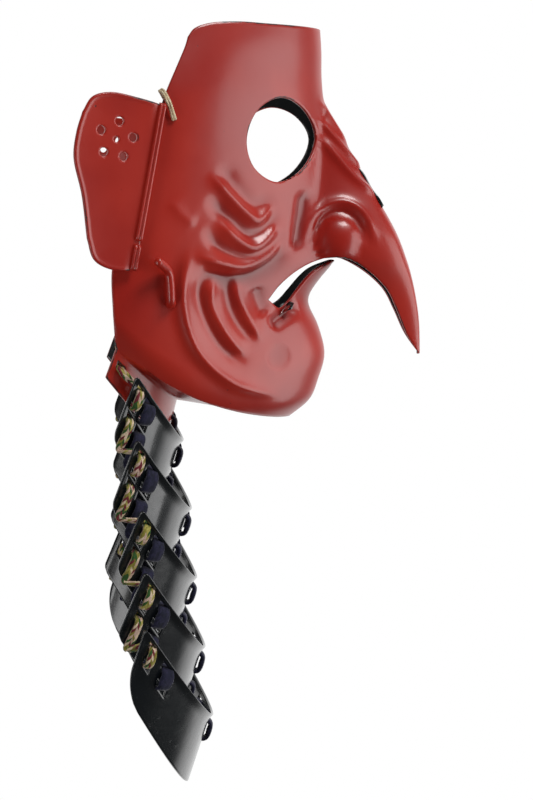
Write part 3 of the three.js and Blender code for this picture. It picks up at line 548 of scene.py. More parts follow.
def relief(y, z, crest):
    total = sum(foldHeight(fold, y, z, crest) for fold in folds)
    for cy, cz, wide, tall, height in bumps:
        r = ((y - cy) / wide) ** 2 + ((z - cz) / tall) ** 2
        total = total + height * np.maximum(0, 1 - r) ** bumpPower
    return total


def punch(grid, centre, outline, reach=9, rounds=40, pull=0.6):
    # opens a hole in a patch: drops the cells inside and fits their edge to the outline
    away = outline - centre
    angles = np.arctan2(away[:, 1], away[:, 0])
    order = np.argsort(angles)
    sizes = np.hypot(away[:, 0], away[:, 1])[order]
    ring = np.concatenate([angles[order] - 2 * math.pi, angles[order], angles[order] + 2 * math.pi])
    ringSize = np.tile(sizes, 3)

    def sizeAt(p):
        return np.interp(np.arctan2(p[..., 1], p[..., 0]), ring, ringSize)

    middle = (grid[:-1, :-1] + grid[1:, :-1] + grid[:-1, 1:] + grid[1:, 1:]) / 4 - centre
    gone = np.hypot(middle[..., 0], middle[..., 1]) < sizeAt(middle)
    touching = np.zeros((4,) + grid.shape[:2], bool)
    touching[0, :-1, :-1] = touching[1, 1:, :-1] = touching[2, :-1, 1:] = touching[3, 1:, 1:] = gone
    known = np.zeros((4,) + grid.shape[:2], bool)
    known[0, :-1, :-1] = known[1, 1:, :-1] = known[2, :-1, 1:] = known[3, 1:, 1:] = True
    inHole = (touching == known).all(0) & touching.any(0)
    onRim = touching.any(0) & ~inHole
    p = grid - centre
    size = sizeAt(p)
    length = np.hypot(p[..., 0], p[..., 1])
    p = np.where(onRim[..., None], p * (size / np.maximum(length, 1e-6))[..., None], p)
    loose = ~inHole & ~onRim & (length - size < reach)
    loose[0], loose[-1], loose[:, 0], loose[:, -1] = False, False, False, False
    ease = (1 - np.clip((length - size) / reach, 0, 1)) * pull
    for _ in range(rounds):
        total = np.zeros_like(p)
        share = np.zeros(p.shape[:2])
        for shift, axis in ((1, 0), (-1, 0), (1, 1), (-1, 1)):
            use = ~np.roll(inHole, shift, axis)
            total += np.where(use[..., None], np.roll(p, shift, axis), 0)
            share += use
        mean = total / np.maximum(share, 1)[..., None]
        p = np.where(loose[..., None], p + (mean - p) * ease[..., None], p)
    return p + centre, gone


def arcPoint(arc, u):
    half, rearY, rearZ, frontY, frontZ, swing = arc
    u = np.asarray(u, float)
    turn = (1 - np.cos(u * arcTurn)) / (1 - math.cos(arcTurn))
    x = half * np.sin(u * arcTurn) / math.sin(arcTurn)
    y = frontY + (rearY - frontY) * turn + swing * (x / half + turn) / 2
    return np.stack([x, y, frontZ + (rearZ - frontZ) * turn], axis=-1)


lacePlaces = {
    "centre": {"onLames": 0.13, "onFlange": 0.13, "width": 8.0},
    "side": {"onLames": 0.82, "onFlange": 0.73, "width": 7.8},
    "edge": {"onLames": 0.935, "onFlange": 0.93, "width": 4.8},
}
laceHoles = {
    "top": 0.115, "middle": 0.385, "low": 0.55, "rise": 0.03, "flange": 0.38, "clear": 0.7, "height": 5,
}


def arcLength(half):
    return half * arcTurn / math.sin(arcTurn)


def laceSpans(where, length, fit=1.0):  # limits of the lace holes across a strip
    spans = []
    for lace in lacePlaces.values():
        reach = (lace["width"] / 2 + laceHoles["clear"]) / length * fit
        spans += [(sign * lace[where] - reach, sign * lace[where] + reach) for sign in (-1, 1)]
    return spans


def stepsInside(values, spans):  # which steps between the values lie in one of the spans
    middle = (values[:-1] + values[1:]) / 2
    return np.any([(middle > low) & (middle < high) for low, high in spans], axis=0)


def snapTo(values, wanted):  # moves the nearest grid lines onto wanted places, in even steps between
    values = np.array(values, float)
    wanted = np.array(sorted(wanted))
    picks = [int(np.argmin(abs(values - w))) for w in wanted]
    ends = [0] + picks + [len(values) - 1]
    places = [values[0]] + list(wanted) + [values[-1]]
    return np.interp(np.arange(len(values)), ends, places)


def lipRow(lip, corner):  # a lip to the corner of the mouth, then on to the rear edge
    lipPart = placeOn(smoothLine(lip), (np.arange(corner + 1) / corner) ** faceShape["lipCrowding"])
    count = faceShape["halfColumns"] - corner
    rest = np.arange(1, count + 1) / count
    return np.vstack([lipPart, placeOn(smoothLine(faceLines["cornerToRear"]), rest)])


def facePatch(top, bottom, frontName, across, rows):
    sides = []
    for name, end in ((frontName, 0), ("rear", -1)):
        z = np.linspace(top[end, 1], bottom[end, 1], rows + 1)
        sides.append(np.stack([level(name, z), z], 1))
    return coons(top, bottom, *sides, across, np.linspace(0, 1, rows + 1))


def bothSides(patch, withNose):  # side-view points of a patch become the whole width of the face
    x = halfWidth(patch[..., 0], patch[..., 1], withNose)
    x[:, 0] = 0
    half = np.concatenate([x[..., None], patch], axis=-1)
    return np.concatenate([half[:, :0:-1] * [-1, 1, 1], half], axis=1)


def throatGrid(jawPoints):  # the floor under the chin and the flange, and the cells cut for laces
    floorRows, flangeRows = faceShape["floorRows"], faceShape["flangeRows"]
    line, edge = throat["line"], throat["edge"]
    u = jawPoints[:, 0] / jawPoints[-1, 0]
    middle = arcPoint(line, u)
    length = np.linalg.norm(arcPoint(edge, 0.5) - arcPoint(line, 0.5))
    holeTall = laceHoles["height"] / 2 / length
    holeRow = (laceHoles["flange"] - holeTall, laceHoles["flange"] + holeTall)
    fall = snapTo(np.arange(flangeRows + 1) / flangeRows, holeRow)[1:]
    spans = laceSpans("onFlange", arcLength(line[0]))
    uFlange = snapTo(u, [value for span in spans for value in span])
    rows = [jawPoints + (middle - jawPoints) * k / floorRows for k in range(1, floorRows + 1)]
    for down in fall:
        uHere = u + (uFlange - u) * min(1, down / faceShape["flangeEase"])
        rows.append(arcPoint(line, uHere) * (1 - down) + arcPoint(edge, uHere) * down)
    downs = np.concatenate([np.full(floorRows + 1, -1.0), fall])
    cut = stepsInside(downs, [holeRow])[:, None] & stepsInside(uFlange, spans)[None]
    return np.array(rows), cut


def shellSheet():  # the middle points of the outer face, its cells and which points are on the face
    shape = faceShape
    columns = np.arange(shape["halfColumns"] + 1) / shape["halfColumns"]
    across = shape["crowding"] * columns ** 2 + (1 - shape["crowding"]) * columns
    corner = int(round(shape["cornerShare"] * shape["halfColumns"]))
    beak, lip = lipRow(faceLines["beakEdge"], corner), lipRow(faceLines["lowerLip"], corner)
    brow, jaw = placeOn(smoothLine(faceLines["topEdge"]), across), placeOn(jawLine, across)
    upper = facePatch(brow, beak, "ridge", across, shape["upperRows"])
    lower = facePatch(lip, jaw, "face", across, shape["lowerRows"])
    eye = smoothLine(faceLines["eyeHole"], closed=True)
    upper, gone = punch(upper, eye.mean(0), eye)
    upperPoints, lowerPoints = bothSides(upper, True), bothSides(lower, False)
    throatPoints, cut = throatGrid(lowerPoints[-1])
    wide = upperPoints.shape[1]
    upperIds = np.arange(upperPoints.size // 3).reshape(-1, wide)
    lowerIds = upperIds.size + np.arange(lowerPoints.size // 3).reshape(-1, wide)
    throatIds = upperIds.size + lowerIds.size + np.arange(throatPoints.size // 3).reshape(-1, wide)
    shared = abs(np.arange(wide) - shape["halfColumns"]) >= corner
    lowerIds[0, shared] = upperIds[-1, shared]
    points = np.concatenate([part.reshape(-1, 3) for part in (upperPoints, lowerPoints, throatPoints)])
    goneBoth = np.concatenate([gone[:, ::-1], gone], axis=1).ravel()
    hangCells = joinRows(np.vstack([lowerIds[-1:], throatIds]))
    cells = np.concatenate([joinRows(upperIds)[~goneBoth], joinRows(lowerIds), hangCells[~cut.ravel()]])
    isFace = np.zeros(len(points), bool)
    isFace[np.unique(np.concatenate([upperIds.ravel(), lowerIds.ravel()]))] = True
    return points, cells, isFace


def buildShell():
    shape = faceShape
    points, cells, isFace = shellSheet()
    normals = cellNormals(points, cells)
    y, z = points[:, 1], points[:, 2]
    sharpRelief = np.where(isFace, relief(y, z, foldLook["crest"]), 0)
    softRelief = np.where(isFace, relief(y, z, 0), 0)
    onRidge = points[:, 0] == 0
    raised = points + normals * sharpRelief[:, None]
    raised[onRidge, 0] = 0
    slope = np.maximum(abs(normals[:, 0]), shape["leastSlope"])
    room = np.where(onRidge, shape["ridgeRoom"], abs(points[:, 0]) / slope)
    wall = np.minimum(shape["wall"], shape["roomShare"] * room)
    inner = points + normals * (np.minimum(softRelief, sharpRelief) - wall)[:, None]
    inner[onRidge, 0] = 0
    allPoints, faces, innerFace, rim = closeWall(raised, cells, inner)
    # how far each point sinks into a groove, which the red lacquer turns into painted shade
    depth = -sharpRelief[np.unique(cells)]
    hollow = np.zeros(len(allPoints))
    hollow[:2 * len(depth)] = np.tile(depth, 2)
    marks = {"edge": rimDistance(allPoints, rim), "hollow": hollow}
    return makePiece("face_shell", allPoints, faces, [red, black], innerFace, marks)


shell = buildShell()
settle(shell, "red_lacquer", "mask_shell")
print("face shell", len(shell.data.polygons))

lameShape = {
    # half width, rear y and z, front y and z, rear height, rear sweep, swing
    "rows": [(67, 39.7, -120.6, 14.8, -161.6, 32.5, 12.3, 0), (72, 39.8, -152.4, 10.5, -199.6, 35, 13.2, 0),
             (77, 37.7, -187.5, 8, -237.9, 31, 12.9, 4), (84, 36.3, -217.9, 3.9, -276.7, 33.4, 14.3, 8),
             (92, 36.8, -245.1, 0, -314.8, 33, 10.5, 11)],
    "frontHeight": 38, "frontSweep": 12.5, "slantHeight": 40, "narrowing": 3, "wall": 1.6, "rimDepth": 0.4,
    "columns": 190, "rowsDown": 44, "rowCrowding": 0.25, "spanFit": 0.97,
    # the lip along the top and the flare of the two ends: height, reach and where the end flare starts
    "lipFlare": 1.5, "lipReach": 2.2, "lipPower": 1.5, "endFlare": 0.5, "endReach": 1.6, "endRise": 3,
    # rounding of the corners, as shares of the half width, and where it starts, as shares of the height
    "topCorner": 0.022, "topStart": 0.06, "lowCorners": [0.05, 0.035, 0.03, 0.03, 0.1],
    "lowStarts": [0.86, 0.9, 0.92, 0.92, 0.62], "cornerPowers": [8, 8, 8, 8, 4],
}


def lameStrip(row):
    half, rearY, rearZ, frontY, frontZ, rearHeight, rearSweep, swing = row
    foot = (half - lameShape["narrowing"], rearY + rearSweep, rearZ - rearHeight,
            frontY + lameShape["frontSweep"], frontZ - lameShape["frontHeight"], swing)
    return (half, rearY, rearZ, frontY, frontZ, swing), foot


def stripFrame(strip, across, down):  # points of a bent strip, with their sideways and outward ways
    top, foot = strip
    step = 0.01
    down = np.asarray(down, float)[..., None]

    def at(u):
        return arcPoint(top, u) * (1 - down) + arcPoint(foot, u) * down

    tangent = at(across + step) - at(across - step)
    fall = unit(arcPoint(foot, across) - arcPoint(top, across))
    normal = unit(np.cross(fall, tangent))
    return at(across), np.cross(normal, fall), normal


def lameGrid(number, down, across):  # places across a lame, drawn in at its rounded corners
    shape = lameShape
    start = shape["lowStarts"][number]
    low = np.clip((down - start) / (1 - start), 0, 1)
    high = np.clip(1 - down / shape["topStart"], 0, 1)
    cornerCut = (shape["lowCorners"][number] * (1 - np.sqrt(1 - low ** 2))
                 + shape["topCorner"] * (1 - np.sqrt(1 - high ** 2)))
    grid = np.repeat(across[None], len(down), 0)
    return grid * (1 - cornerCut[:, None] * abs(grid) ** shape["cornerPowers"][number])


def buildLame(number):
    shape = lameShape
    strip = lameStrip(shape["rows"][number])
    tall = shape["slantHeight"]
    holeTall = laceHoles["height"] / 2 / tall
    isLast = number == len(shape["rows"]) - 1
    names = ["top", "middle"] if isLast else ["top", "middle", "low"]
    holeRows = [(laceHoles[name] - holeTall, laceHoles[name] + holeTall) for name in names]
    even = np.linspace(0, 1, shape["rowsDown"] + 1)
    crowding = shape["rowCrowding"]
    down = snapTo((1 - crowding) * even + crowding * even ** 2, [value for row in holeRows for value in row])
    length = arcLength(strip[0][0])
    spans = laceSpans("onLames", length, shape["spanFit"])
    across = snapTo(np.linspace(-1, 1, shape["columns"] + 1), [value for span in spans for value in span])
    grid = lameGrid(number, down, across)
    fromTop = np.repeat(down[:, None], len(across), 1) * tall
    fromEnd = (1 - abs(grid)) * length
    lip = shape["lipFlare"] * np.exp(-(fromTop / shape["lipReach"]) ** shape["lipPower"])
    belowLip = 1 - np.exp(-(fromTop / shape["endRise"]) ** 2)
    lip = lip + shape["endFlare"] * np.exp(-(fromEnd / shape["endReach"]) ** 2) * belowLip
    point, sideways, normal = stripFrame(strip, grid, np.repeat(down[:, None], len(across), 1))
    outer = point + normal * lip[..., None]
    inner = point + normal * (lip - shape["wall"])[..., None]
    cut = stepsInside(down, holeRows)[:, None] & stepsInside(across, spans)[None]
    cells = joinRows(np.arange(grid.size).reshape(grid.shape))[~cut.ravel()]
    points, faces, innerFace, rim = closeWall(outer.reshape(-1, 3), cells, inner.reshape(-1, 3),
                                              shape["rimDepth"])
    marks = {"edge": rimDistance(points, rim)}
    return makePiece(f"throat_lame_{number + 1}", points, faces, [black], None, marks)


for number in range(len(lameShape["rows"])):
    settle(buildLame(number), "black_lacquer", f"lame_{number + 1}")
print("throat lames")

laceLook = {
    "thick": 2.4, "clear": 0.7, "step": 0.4, "ring": 36, "lineSteps": 30,
    # width and thickness shares: at the end of a bend, by a hole, between two holes, falling free
    "behind": (0.9, 1), "byHole": (0.96, 1.05), "button": (1.08, 1.35), "fall": (1.05, 1.2),
    # how far a button stands out, is drawn in by its holes, and how far the free fall stands out
    "puff": 0.35, "tuck": 0.2, "lift": 0.15, "fallAt": 0.8,
    # stops on the flange: height against the hole, outside or not, width share
    "flangeStops": [(-0.16, False, 0.95), (-0.05, False, 0.92), (0.07, True, 0.95)],
    # roundness of the section, of a column and of a stitch
    "sideRound": 0.8, "faceRound": 0.62, "columnRound": 0.5, "stitchRound": 0.7, "stitchLow": 0.45,
    "stitchHigh": 0.55, "backShift": 0.25, "backColumns": 10, "endLength": 1.5, "endWidth": 0.35,
    "navy": {"columns": 5, "stitch": 1.5, "slant": 0.9, "depth": 0.28},
    "mixed": {"columns": 3, "stitch": 2.1, "slant": 1.1, "depth": 0.34},
}
flangeStrip = (throat["line"], throat["edge"])


def laceRoute(lace, sign):
    # out through the flange, then out, in, out and over the lower edge of every lame
    stops = []
    look = laceLook
    outside = look["thick"] / 2 + look["clear"]
    inside = -(faceShape["wall"] + look["thick"] / 2 + look["clear"])
    top, middle, low, rise = (laceHoles[name] for name in ("top", "middle", "low", "rise"))

    def add(strip, down, out, size=(1, 1)):
        across = sign * lace["onFlange" if strip is flangeStrip else "onLames"]
        point, sideways, normal = stripFrame(strip, np.array(across, float), down)
        stops.append(np.concatenate([point + normal * out, sideways, size]))

    for down, isOutside, width in look["flangeStops"]:
        add(flangeStrip, laceHoles["flange"] + down, outside if isOutside else inside, (width, 1))
    rows = lameShape["rows"]
    for row in rows:
        strip = lameStrip(row)
        add(strip, top - rise, inside, look["behind"])
        add(strip, top + rise, outside - look["tuck"], look["byHole"])
        add(strip, (top + middle) / 2, outside + look["puff"], look["button"])
        add(strip, middle - rise, outside - look["tuck"], look["byHole"])
        add(strip, middle + rise, inside, look["behind"])
        if row is rows[-1]:
            break
        add(strip, low - rise, inside, look["behind"])
        add(strip, low + rise, outside, look["byHole"])
        add(strip, look["fallAt"], outside + look["lift"], look["fall"])
        add(strip, 1, outside)
    line = smoothLine(stops, steps=look["lineSteps"])
    reach = runningLength(line)[-1]
    at = np.linspace(0, reach, int(reach / look["step"]))
    return placeAt(line, at), at


def sweepSolid(points, right, up, ring, closed=False):
    # ring: stations x sides x 2, sizes in the right and up directions
    count, sides = ring.shape[:2]
    body = points[:, None] + right[:, None] * ring[..., :1] + up[:, None] * ring[..., 1:]
    ids = np.arange(count * sides).reshape(count, sides)
    following = np.roll(ids, -1, 0) if closed else ids[1:]
    first = ids if closed else ids[:-1]
    faces = np.stack([first, np.roll(first, -1, 1), np.roll(following, -1, 1), following], -1)
    faces = faces.reshape(-1, 4).tolist()
    if not closed:
        faces += [ids[0][::-1].tolist(), ids[-1].tolist()]
    return body.reshape(-1, 3), faces


def circle(sides, start=0.0):
    return 2 * math.pi * (np.arange(sides) + start) / sides


def alongFrames(points, side, closed=False):
    if closed:
        along = unit(np.roll(points, -1, 0) - np.roll(points, 1, 0))
    else:
        along = unit(np.gradient(points, axis=0))
    right = unit(side - along * np.sum(side * along, axis=1, keepdims=True))
    return right, np.cross(along, right)


def buildLace(name, weave, finish, lace, sign):
    look = laceLook
    stations, length = laceRoute(lace, sign)
    right, up = alongFrames(stations[:, :3], stations[:, 3:6])
    c, s = np.cos(circle(look["ring"], 0.5)), np.sin(circle(look["ring"], 0.5))
    across = np.sign(c) * abs(c) ** look["sideRound"]
    over = np.sign(s) * abs(s) ** look["faceRound"]
    columnAt = (across + 1) / 2 * weave["columns"]
    inColumn = columnAt % 1
    lean = np.where(np.floor(columnAt) % 2 == 0, 1, -1) * weave["slant"]
    stitchAt = (length[:, None] / weave["stitch"] + lean[None] * (inColumn[None] - 0.5)
                + np.sign(over)[None] * look["backShift"])
    swell = abs(np.sin(math.pi * stitchAt)) ** look["stitchRound"]
    plump = (np.sin(math.pi * inColumn)[None] ** look["columnRound"]
             * (look["stitchLow"] + look["stitchHigh"] * swell))
    shrink = (plump - 1) * weave["depth"]
    half = stations[:, 6:7] * lace["width"] / 2
    thick = stations[:, 7:8] * look["thick"] / 2
    fromEnd = np.minimum(length, length[-1] - length)[:, None]
    taper = np.minimum(1, fromEnd / look["endLength"] + look["endWidth"])
    ring = np.stack([(half * taper + shrink) * across[None], (thick * taper + shrink) * over[None]], -1)
    body, faces = sweepSolid(stations[:, :3], right, up, ring)
    column = np.broadcast_to(columnAt[None] + look["backColumns"] * (over < 0)[None], stitchAt.shape)
    plait = np.stack([stitchAt, column, np.zeros_like(stitchAt)], -1).reshape(-1, 3)
    return makePiece(name, body, faces, [finish], None, {"plait": plait})


for place, weave, finish, slotName in (("centre", "navy", navyYarn, "navy_braid"),
                                       ("side", "navy", navyYarn, "navy_braid"),
                                       ("edge", "mixed", mixedYarn, "mixed_braid")):
    for side, sign in (("left", 1), ("right", -1)):
        piece = buildLace(f"braided_lace_{place}_{side}", laceLook[weave], finish, lacePlaces[place], sign)
        settle(piece, slotName, f"lace_{place}_{side}")
print("laces")

earShape = {  # in the plate's own plane: back from its front edge, and up
    "low": (75.4, 40.3, -62.8), "high": (73, 25.7, 14.4), "flare": math.radians(22), "wall": 2.0,
    "bottom": [(0, -4), (13, -5.5), (22, -2.6), (27.5, 7)],
    "rear": [(27.5, 7), (34, 27), (41.4, 44), (42.2, 56), (41, 66)],
    "top": [(0, 78), (14, 78.6), (29, 78), (37.5, 74), (41, 66)],
    "columns": 70, "rows": 120, "rimDepth": 0.5,
    # a shallow dish and a low bead near the rim, which fade out towards the front edge
    "dish": 0.7, "dishWidth": 16, "rimReach": 20, "rimBead": 0.35, "beadAt": 0.6, "beadWidth": 0.9,
    "fade": (1, 7),
    "holes": 5, "holeCentre": (21.7, 56.8), "holeRing": 9, "holeRadius": 2.6, "centreRadius": 1.8,
    "holeSides": 40, "holeReach": 2.4, "holeRounds": 25,
}
earBead = {  # the folded front edge in two lengths, with a notch between them
    "profile": [(0, -0.2), (-0.15, 1.6), (0.25, 2), (0.95, 2.1), (1.45, 1.56), (1.75, 1.44), (2.05, 1.56),
                (2.5, 1.96), (3.1, 1.7), (3.3, 0.6), (3.3, -0.2)],
    "sides": 44, "lengths": ((-4.5, 8.5), (10.5, 79.2)), "step": 1.2, "forward": 0.4, "sink": 0.3,
    "endReach": 0.8, "endLow": 0.35, "endPower": 0.5,
}
farFromEdge = 6.0


def earFrame():
    low, high = Vector(earShape["low"]), Vector(earShape["high"])
    up = (high - low).normalized()
    flare = earShape["flare"]
    back = Vector((0, up.z, -up.y)).normalized() * math.cos(flare) + Vector((math.sin(flare), 0, 0))
    back = (back - up * back.dot(up)).normalized()
    return np.array(low), np.array(back), np.array(up), np.array(back.cross(up))


def earPoint(flat, out):
    origin, back, up, outward = earFrame()
    return origin + flat[..., :1] * back + flat[..., 1:2] * up + np.asarray(out, float)[..., None] * outward


def earHoles():  # centres and radii: one small hole in a ring of five
    e = earShape
    centre = np.array(e["holeCentre"])
    holes = [(centre, e["centreRadius"])]
    for k in range(e["holes"]):
        turn = math.pi / 2 + 2 * math.pi * k / e["holes"]
        holes.append((centre + e["holeRing"] * np.array([math.cos(turn), math.sin(turn)]), e["holeRadius"]))
    return holes


def earLift(flat, outline):  # how far the plate's surface stands out of its plane
    e = earShape
    near = rimDistance(np.hstack([flat, np.zeros((len(flat), 1))]),
                       np.hstack([outline, np.zeros((len(outline), 1))]), e["rimReach"])
    dish = e["dish"] * (1 - np.clip(near / e["dishWidth"], 0, 1)) ** 2
    bead = e["rimBead"] * np.exp(-((near - e["beadAt"]) / e["beadWidth"]) ** 2)
    return (dish + bead) * smoothstep(flat[:, 0], *e["fade"])


def buildEar():
    e = earShape
    bottom, rear, top = smoothLine(e["bottom"]), smoothLine(e["rear"]), smoothLine(e["top"])
    s = np.linspace(0, 1, e["columns"] + 1)
    r = np.linspace(0, 1, e["rows"] + 1)
    highest, lowest = e["top"][0][1], e["bottom"][0][1]
    front = np.stack([np.zeros_like(r), highest - (highest - lowest) * r], 1)
    grid = coons(placeOn(top, s), placeOn(bottom, s), front, placeOn(rear[::-1], r), s, r)
    gone = np.zeros((e["rows"], e["columns"]), bool)
    turns = circle(e["holeSides"])
    for at, radius in earHoles():
        outline = at + radius * np.stack([np.cos(turns), np.sin(turns)], 1)
        grid, cut = punch(grid, at, outline, e["holeReach"], e["holeRounds"])
        gone |= cut
    cells = joinRows(np.arange(grid.size // 2).reshape(grid.shape[:2]))[~gone.ravel()]
    flat = grid.reshape(-1, 2)
    lift = earLift(flat, np.vstack([top, rear[::-1], bottom[::-1]]))
    outer, inner = earPoint(flat, e["wall"] + lift), earPoint(flat, lift)
    if np.sum(cellNormals(outer, cells) @ earFrame()[3]) < 0:  # the cells face outwards
        cells = cells[:, ::-1]
    points, faces, innerFace, rim = closeWall(outer, cells, inner, e["rimDepth"])
    return points, faces.tolist(), rimDistance(points, rim)


def buildEarBead():
    b = earBead
    profile = placeOn(smoothLine(b["profile"]), np.linspace(0, 1, b["sides"]))
    parts, faces = [], []
    start = 0
    for low, high in b["lengths"]:
        ups = np.linspace(low, high, int((high - low) / b["step"]) + 2)
        fromEnd = np.minimum(ups - low, high - ups)
        swell = np.clip(fromEnd / b["endReach"], b["endLow"], 1) ** b["endPower"]
        shape = (len(ups), len(profile))
        flat = np.stack([np.broadcast_to(profile[None, :, 0] - b["forward"], shape),
                         np.broadcast_to(ups[:, None], shape)], -1)
        out = earShape["wall"] - b["sink"] + profile[None, :, 1] * swell[:, None]
        ids = start + np.arange(shape[0] * shape[1]).reshape(shape)
        ring = np.stack([ids[:-1], np.roll(ids[:-1], -1, 1), np.roll(ids[1:], -1, 1), ids[1:]], -1)
        faces += ring.reshape(-1, 4).tolist() + [ids[0][::-1].tolist(), ids[-1].tolist()]
        parts.append(earPoint(flat, out).reshape(-1, 3))
        start += ids.size
    points = np.concatenate(parts)
    return points, facingOut(points, faces)


platePoints, plateFaces, plateEdge = buildEar()
beadPoints, beadFaces = buildEarBead()
earPoints = np.vstack([platePoints, beadPoints])
earFaces = plateFaces + [[k + len(platePoints) for k in f] for f in beadFaces]
earMarks = {
    "edge": np.concatenate([plateEdge, np.full(len(beadPoints), farFromEdge)]),
    "hollow": np.zeros(len(earPoints)),
}
settlePair("ear", "ear_plate", "red_lacquer", red, earPoints, earFaces, earMarks)
print("ear plates")


def onFace(y, z, out):
    y, z = np.asarray(y, float), np.asarray(z, float)
    return np.stack([halfWidth(y, z) + relief(y, z, 0) + out, y, z], axis=-1)


hookShape = {
    "post": (22.4, -84), "radius": 2.1, "stations": 90, "sides": 20, "lineSteps": 16,
    "side": [0, 1, -0.2], "growth": 0.05, "tip": 0.01,
    # out, back and up from the post
    "route": [(-3, 0, 0), (2.6, 0, 0.6), (4.2, -0.1, 3), (4.6, 0.6, 14), (6.2, 1.6, 17), (13.2, 5.5, 20.5),
              (16.2, 7.2, 22)],
    # the swelling at the foot: share, distance along the peg and reach
    "footSwell": 0.35, "footAt": 3, "footReach": 1.2,
}


def buildHook():
    h = hookShape
    start = onFace(*h["post"], 0.0)
    line = smoothLine(start + np.array(h["route"], float), steps=h["lineSteps"])
    share = np.linspace(0, 1, h["stations"])
    points = placeOn(line, share)
    right, up = alongFrames(points, np.broadcast_to(h["side"], points.shape))
    length = runningLength(line)[-1]
    fromTip = np.clip((1 - share) * length / h["radius"], 0, 1)
    dome = np.sqrt(np.clip(1 - (1 - fromTip) ** 2, h["tip"], 1))
    foot = 1 + h["footSwell"] * np.exp(-((share * length - h["footAt"]) / h["footReach"]) ** 2)
    size = (h["radius"] * dome * foot * (1 + h["growth"] * share))[:, None]
    turns = circle(h["sides"])
    body, faces = sweepSolid(points, right, up, np.stack([size * np.cos(turns), size * np.sin(turns)], -1))
    return body, facingOut(body, faces)


hookPoints, hookFaces = buildHook()
hookMarks = {"edge": np.full(len(hookPoints), farFromEdge), "hollow": np.zeros(len(hookPoints))}
settlePair("hook", "cord_hook", "red_lacquer", red, hookPoints, hookFaces, hookMarks)

tieShape = {
    "hole": (20.3, 9.2), "thick": 2.2, "edgeY": 22, "gap": 0.5, "side": [0, 0.9, -0.42],
    "stations": 180, "sides": 14, "lineSteps": 20,
    # the two strands: radius, distance from the middle, flatness, and how they wind round each other
    "strand": 0.72, "spread": 0.62, "flat": 0.4, "sway": 0.5, "twists": 2.5,
    "plies": 3, "plyDepth": 0.1, "plyPitch": 1.1,
}


def tieRoute():
    t = tieShape
    out = t["thick"] / 2 + t["gap"]
    inside = -(faceShape["wall"] + out)
    # back and up from the hole, and out of the face
    route = [(0, -1.2, out), (1.5, 3.6, out + 0.6), (3.2, 8, out + 0.6), (5, 11.6, out), (6.4, 12.8, out - 2),
             (5.4, 11.4, inside - 0.6), (3.2, 7.6, inside - 1), (1, 3, inside - 0.8), (0, 0, inside)]
    middle = []
    for back, up, x in route:
        y = t["hole"][0] + back
        point = onFace(min(y, t["edgeY"]), t["hole"][1] + up, x)
        point[1] = y
        middle.append(point)
    return smoothLine(middle, closed=True, steps=t["lineSteps"])


def buildTie():
    t = tieShape
    line = tieRoute()
    points = placeOn(np.vstack([line, line[:1]]), np.linspace(0, 1, t["stations"] + 1))[:-1]
    right, up = alongFrames(points, np.broadcast_to(t["side"], points.shape), closed=True)
    allPoints, allFaces, plait = [], [], []
    turns = circle(t["sides"])
    share = np.arange(len(points)) / len(points)
    length = runningLength(line)[-1]
    for strand in (0, math.pi):
        lean = strand + t["sway"] * np.sin(2 * math.pi * t["twists"] * share)
        aside = right * np.cos(lean)[:, None] + up * t["flat"] * np.sin(lean)[:, None]
        plyTurn = t["plies"] * turns[None] + share[:, None] * length / t["plyPitch"] * 2 * math.pi
        size = t["strand"] * (1 + t["plyDepth"] * np.sin(plyTurn))
        ring = np.stack([size * np.cos(turns), size * np.sin(turns)], -1)
        body, faces = sweepSolid(points + aside * t["spread"], right, up, ring, closed=True)
        allFaces += [[k + len(allPoints) * len(body) for k in f] for f in faces]
        allPoints.append(body)
        along = np.repeat(share * length, t["sides"])
        plait.append(np.stack([along, np.full(len(body), strand), np.zeros(len(body))], 1))
    body = np.vstack(allPoints)
    return body, facingOut(body, allFaces), np.vstack(plait)


tiePoints, tieFaces, tiePlait = buildTie()
settlePair("tie", "tie_loop", "cream_cord", creamYarn, tiePoints, tieFaces, {"plait": tiePlait})
print("hooks and ties")

studio = {
    "eye": (-0.85, 0.05, -0.048), "forward": (0.98944967, -0.09645514, -0.10810066),
    "up": (0.10759064, -0.01048833, 0.99413995), "lens": 69.525, "sensor": 36, "clipStart": 0.01,
    # strength of the world: low on the side that the guard is seen from, full behind it
    "dark": 0.05, "bright": 1.0, "turn": (0.3, 0.62),
    "floor": -470, "floorReach": 5900, "domeRadius": 6000, "domeRings": 25, "domeSides": 48,
    # name: place, point aimed at, width and height, power
    "boxes": {
        "front_wall": ((-0.26, -1.25, -0.3), (0, 0, -0.1), (0.92, 1.45), 11.0),
        "top_box": ((-0.75, -1.0, 1.45), (0, 0, -0.1), (0.9, 0.55), 24.0),
        "rear_strip": ((-0.95, 0.98, -0.5), (0, 0, -0.1), (0.42, 1.3), 7.0),
    },
}


def softbox(name, place, aim, size, power):
    light = bpy.data.lights.new(name, "AREA")
    light.shape = "RECTANGLE"
    light.size, light.size_y = size
    light.energy = power
    lamp = bpy.data.objects.new(name, light)
    lamp.location = place
    lamp.rotation_euler = (Vector(aim) - Vector(place)).to_track_quat("-Z", "Y").to_euler()
    lamp.visible_camera = False
    bpy.context.scene.collection.objects.link(lamp)


def glow(name):  # an even white surface
    material = bpy.data.materials.new(name)
    material.use_nodes = True
    network = Network(material.node_tree)
    light = network.node("ShaderNodeEmission", None, {"Color": (1, 1, 1), "Strength": 1.0})
    network.node("ShaderNodeOutputMaterial", None, {"Surface": light})
    return material


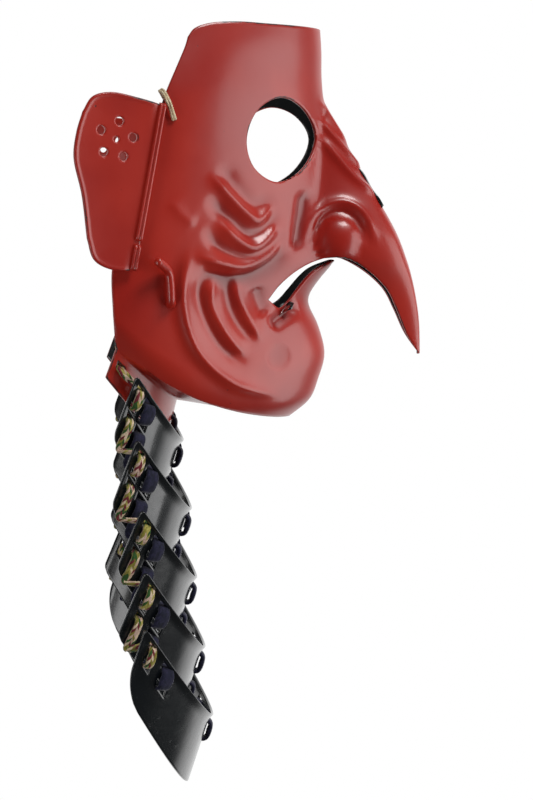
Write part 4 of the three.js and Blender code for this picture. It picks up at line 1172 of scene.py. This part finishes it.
def setCamera():
    forward, up = Vector(studio["forward"]), Vector(studio["up"])
    right = forward.cross(up)
    turn = Matrix((right, up, -forward)).transposed().to_4x4()
    data = bpy.data.cameras.new("camera")
    data.sensor_fit = "AUTO"
    data.sensor_width = studio["sensor"]
    data.lens = studio["lens"]
    data.clip_start = studio["clipStart"]
    camera = bpy.data.objects.new("camera", data)
    camera.matrix_world = Matrix.Translation(studio["eye"]) @ turn
    bpy.context.scene.collection.objects.link(camera)
    bpy.context.scene.camera = camera


def setWorld():
    world = bpy.data.worlds.new("studio")
    world.use_nodes = True
    network = Network(world.node_tree)
    where = network.node("ShaderNodeTexCoord", output="Generated")
    across = network.node("ShaderNodeSeparateXYZ", None, {"Vector": where}, "X")
    strength = across.over(*studio["turn"], studio["dark"], studio["bright"])
    light = network.node("ShaderNodeBackground", None, {"Color": (1, 1, 1), "Strength": strength})
    network.node("ShaderNodeOutputWorld", None, {"Surface": light})
    bpy.context.scene.world = world


def buildDome():
    radius = studio["domeRadius"]
    rings = np.linspace(0, math.pi, studio["domeRings"])
    dome = [(radius * math.sin(a) * math.cos(b), radius * math.sin(a) * math.sin(b), radius * math.cos(a))
            for a in rings for b in circle(studio["domeSides"])]
    ids = np.arange(len(dome)).reshape(studio["domeRings"], studio["domeSides"])
    return makePiece("backdrop", dome, joinRows(np.hstack([ids, ids[:, :1]])), [glow("white_backdrop")])


def buildFloor():
    reach = studio["floorReach"]
    corners = [(x * reach, y * reach, studio["floor"]) for x, y in ((-1, -1), (1, -1), (1, 1), (-1, 1))]
    return makePiece("floor", corners, [(0, 1, 2, 3)], [glow("white_floor")])


def setStudio():
    setWorld()
    for shown in (buildDome(), buildFloor()):
        for way in ("diffuse", "glossy", "transmission", "volume_scatter", "shadow"):
            setattr(shown, f"visible_{way}", False)
    for name, (place, aim, size, power) in studio["boxes"].items():
        softbox(name, place, aim, size, power)


setCamera()
setStudio()
scene = bpy.context.scene
scene.view_settings.view_transform = "Standard"
scene.view_settings.look = "None"
print("studio")
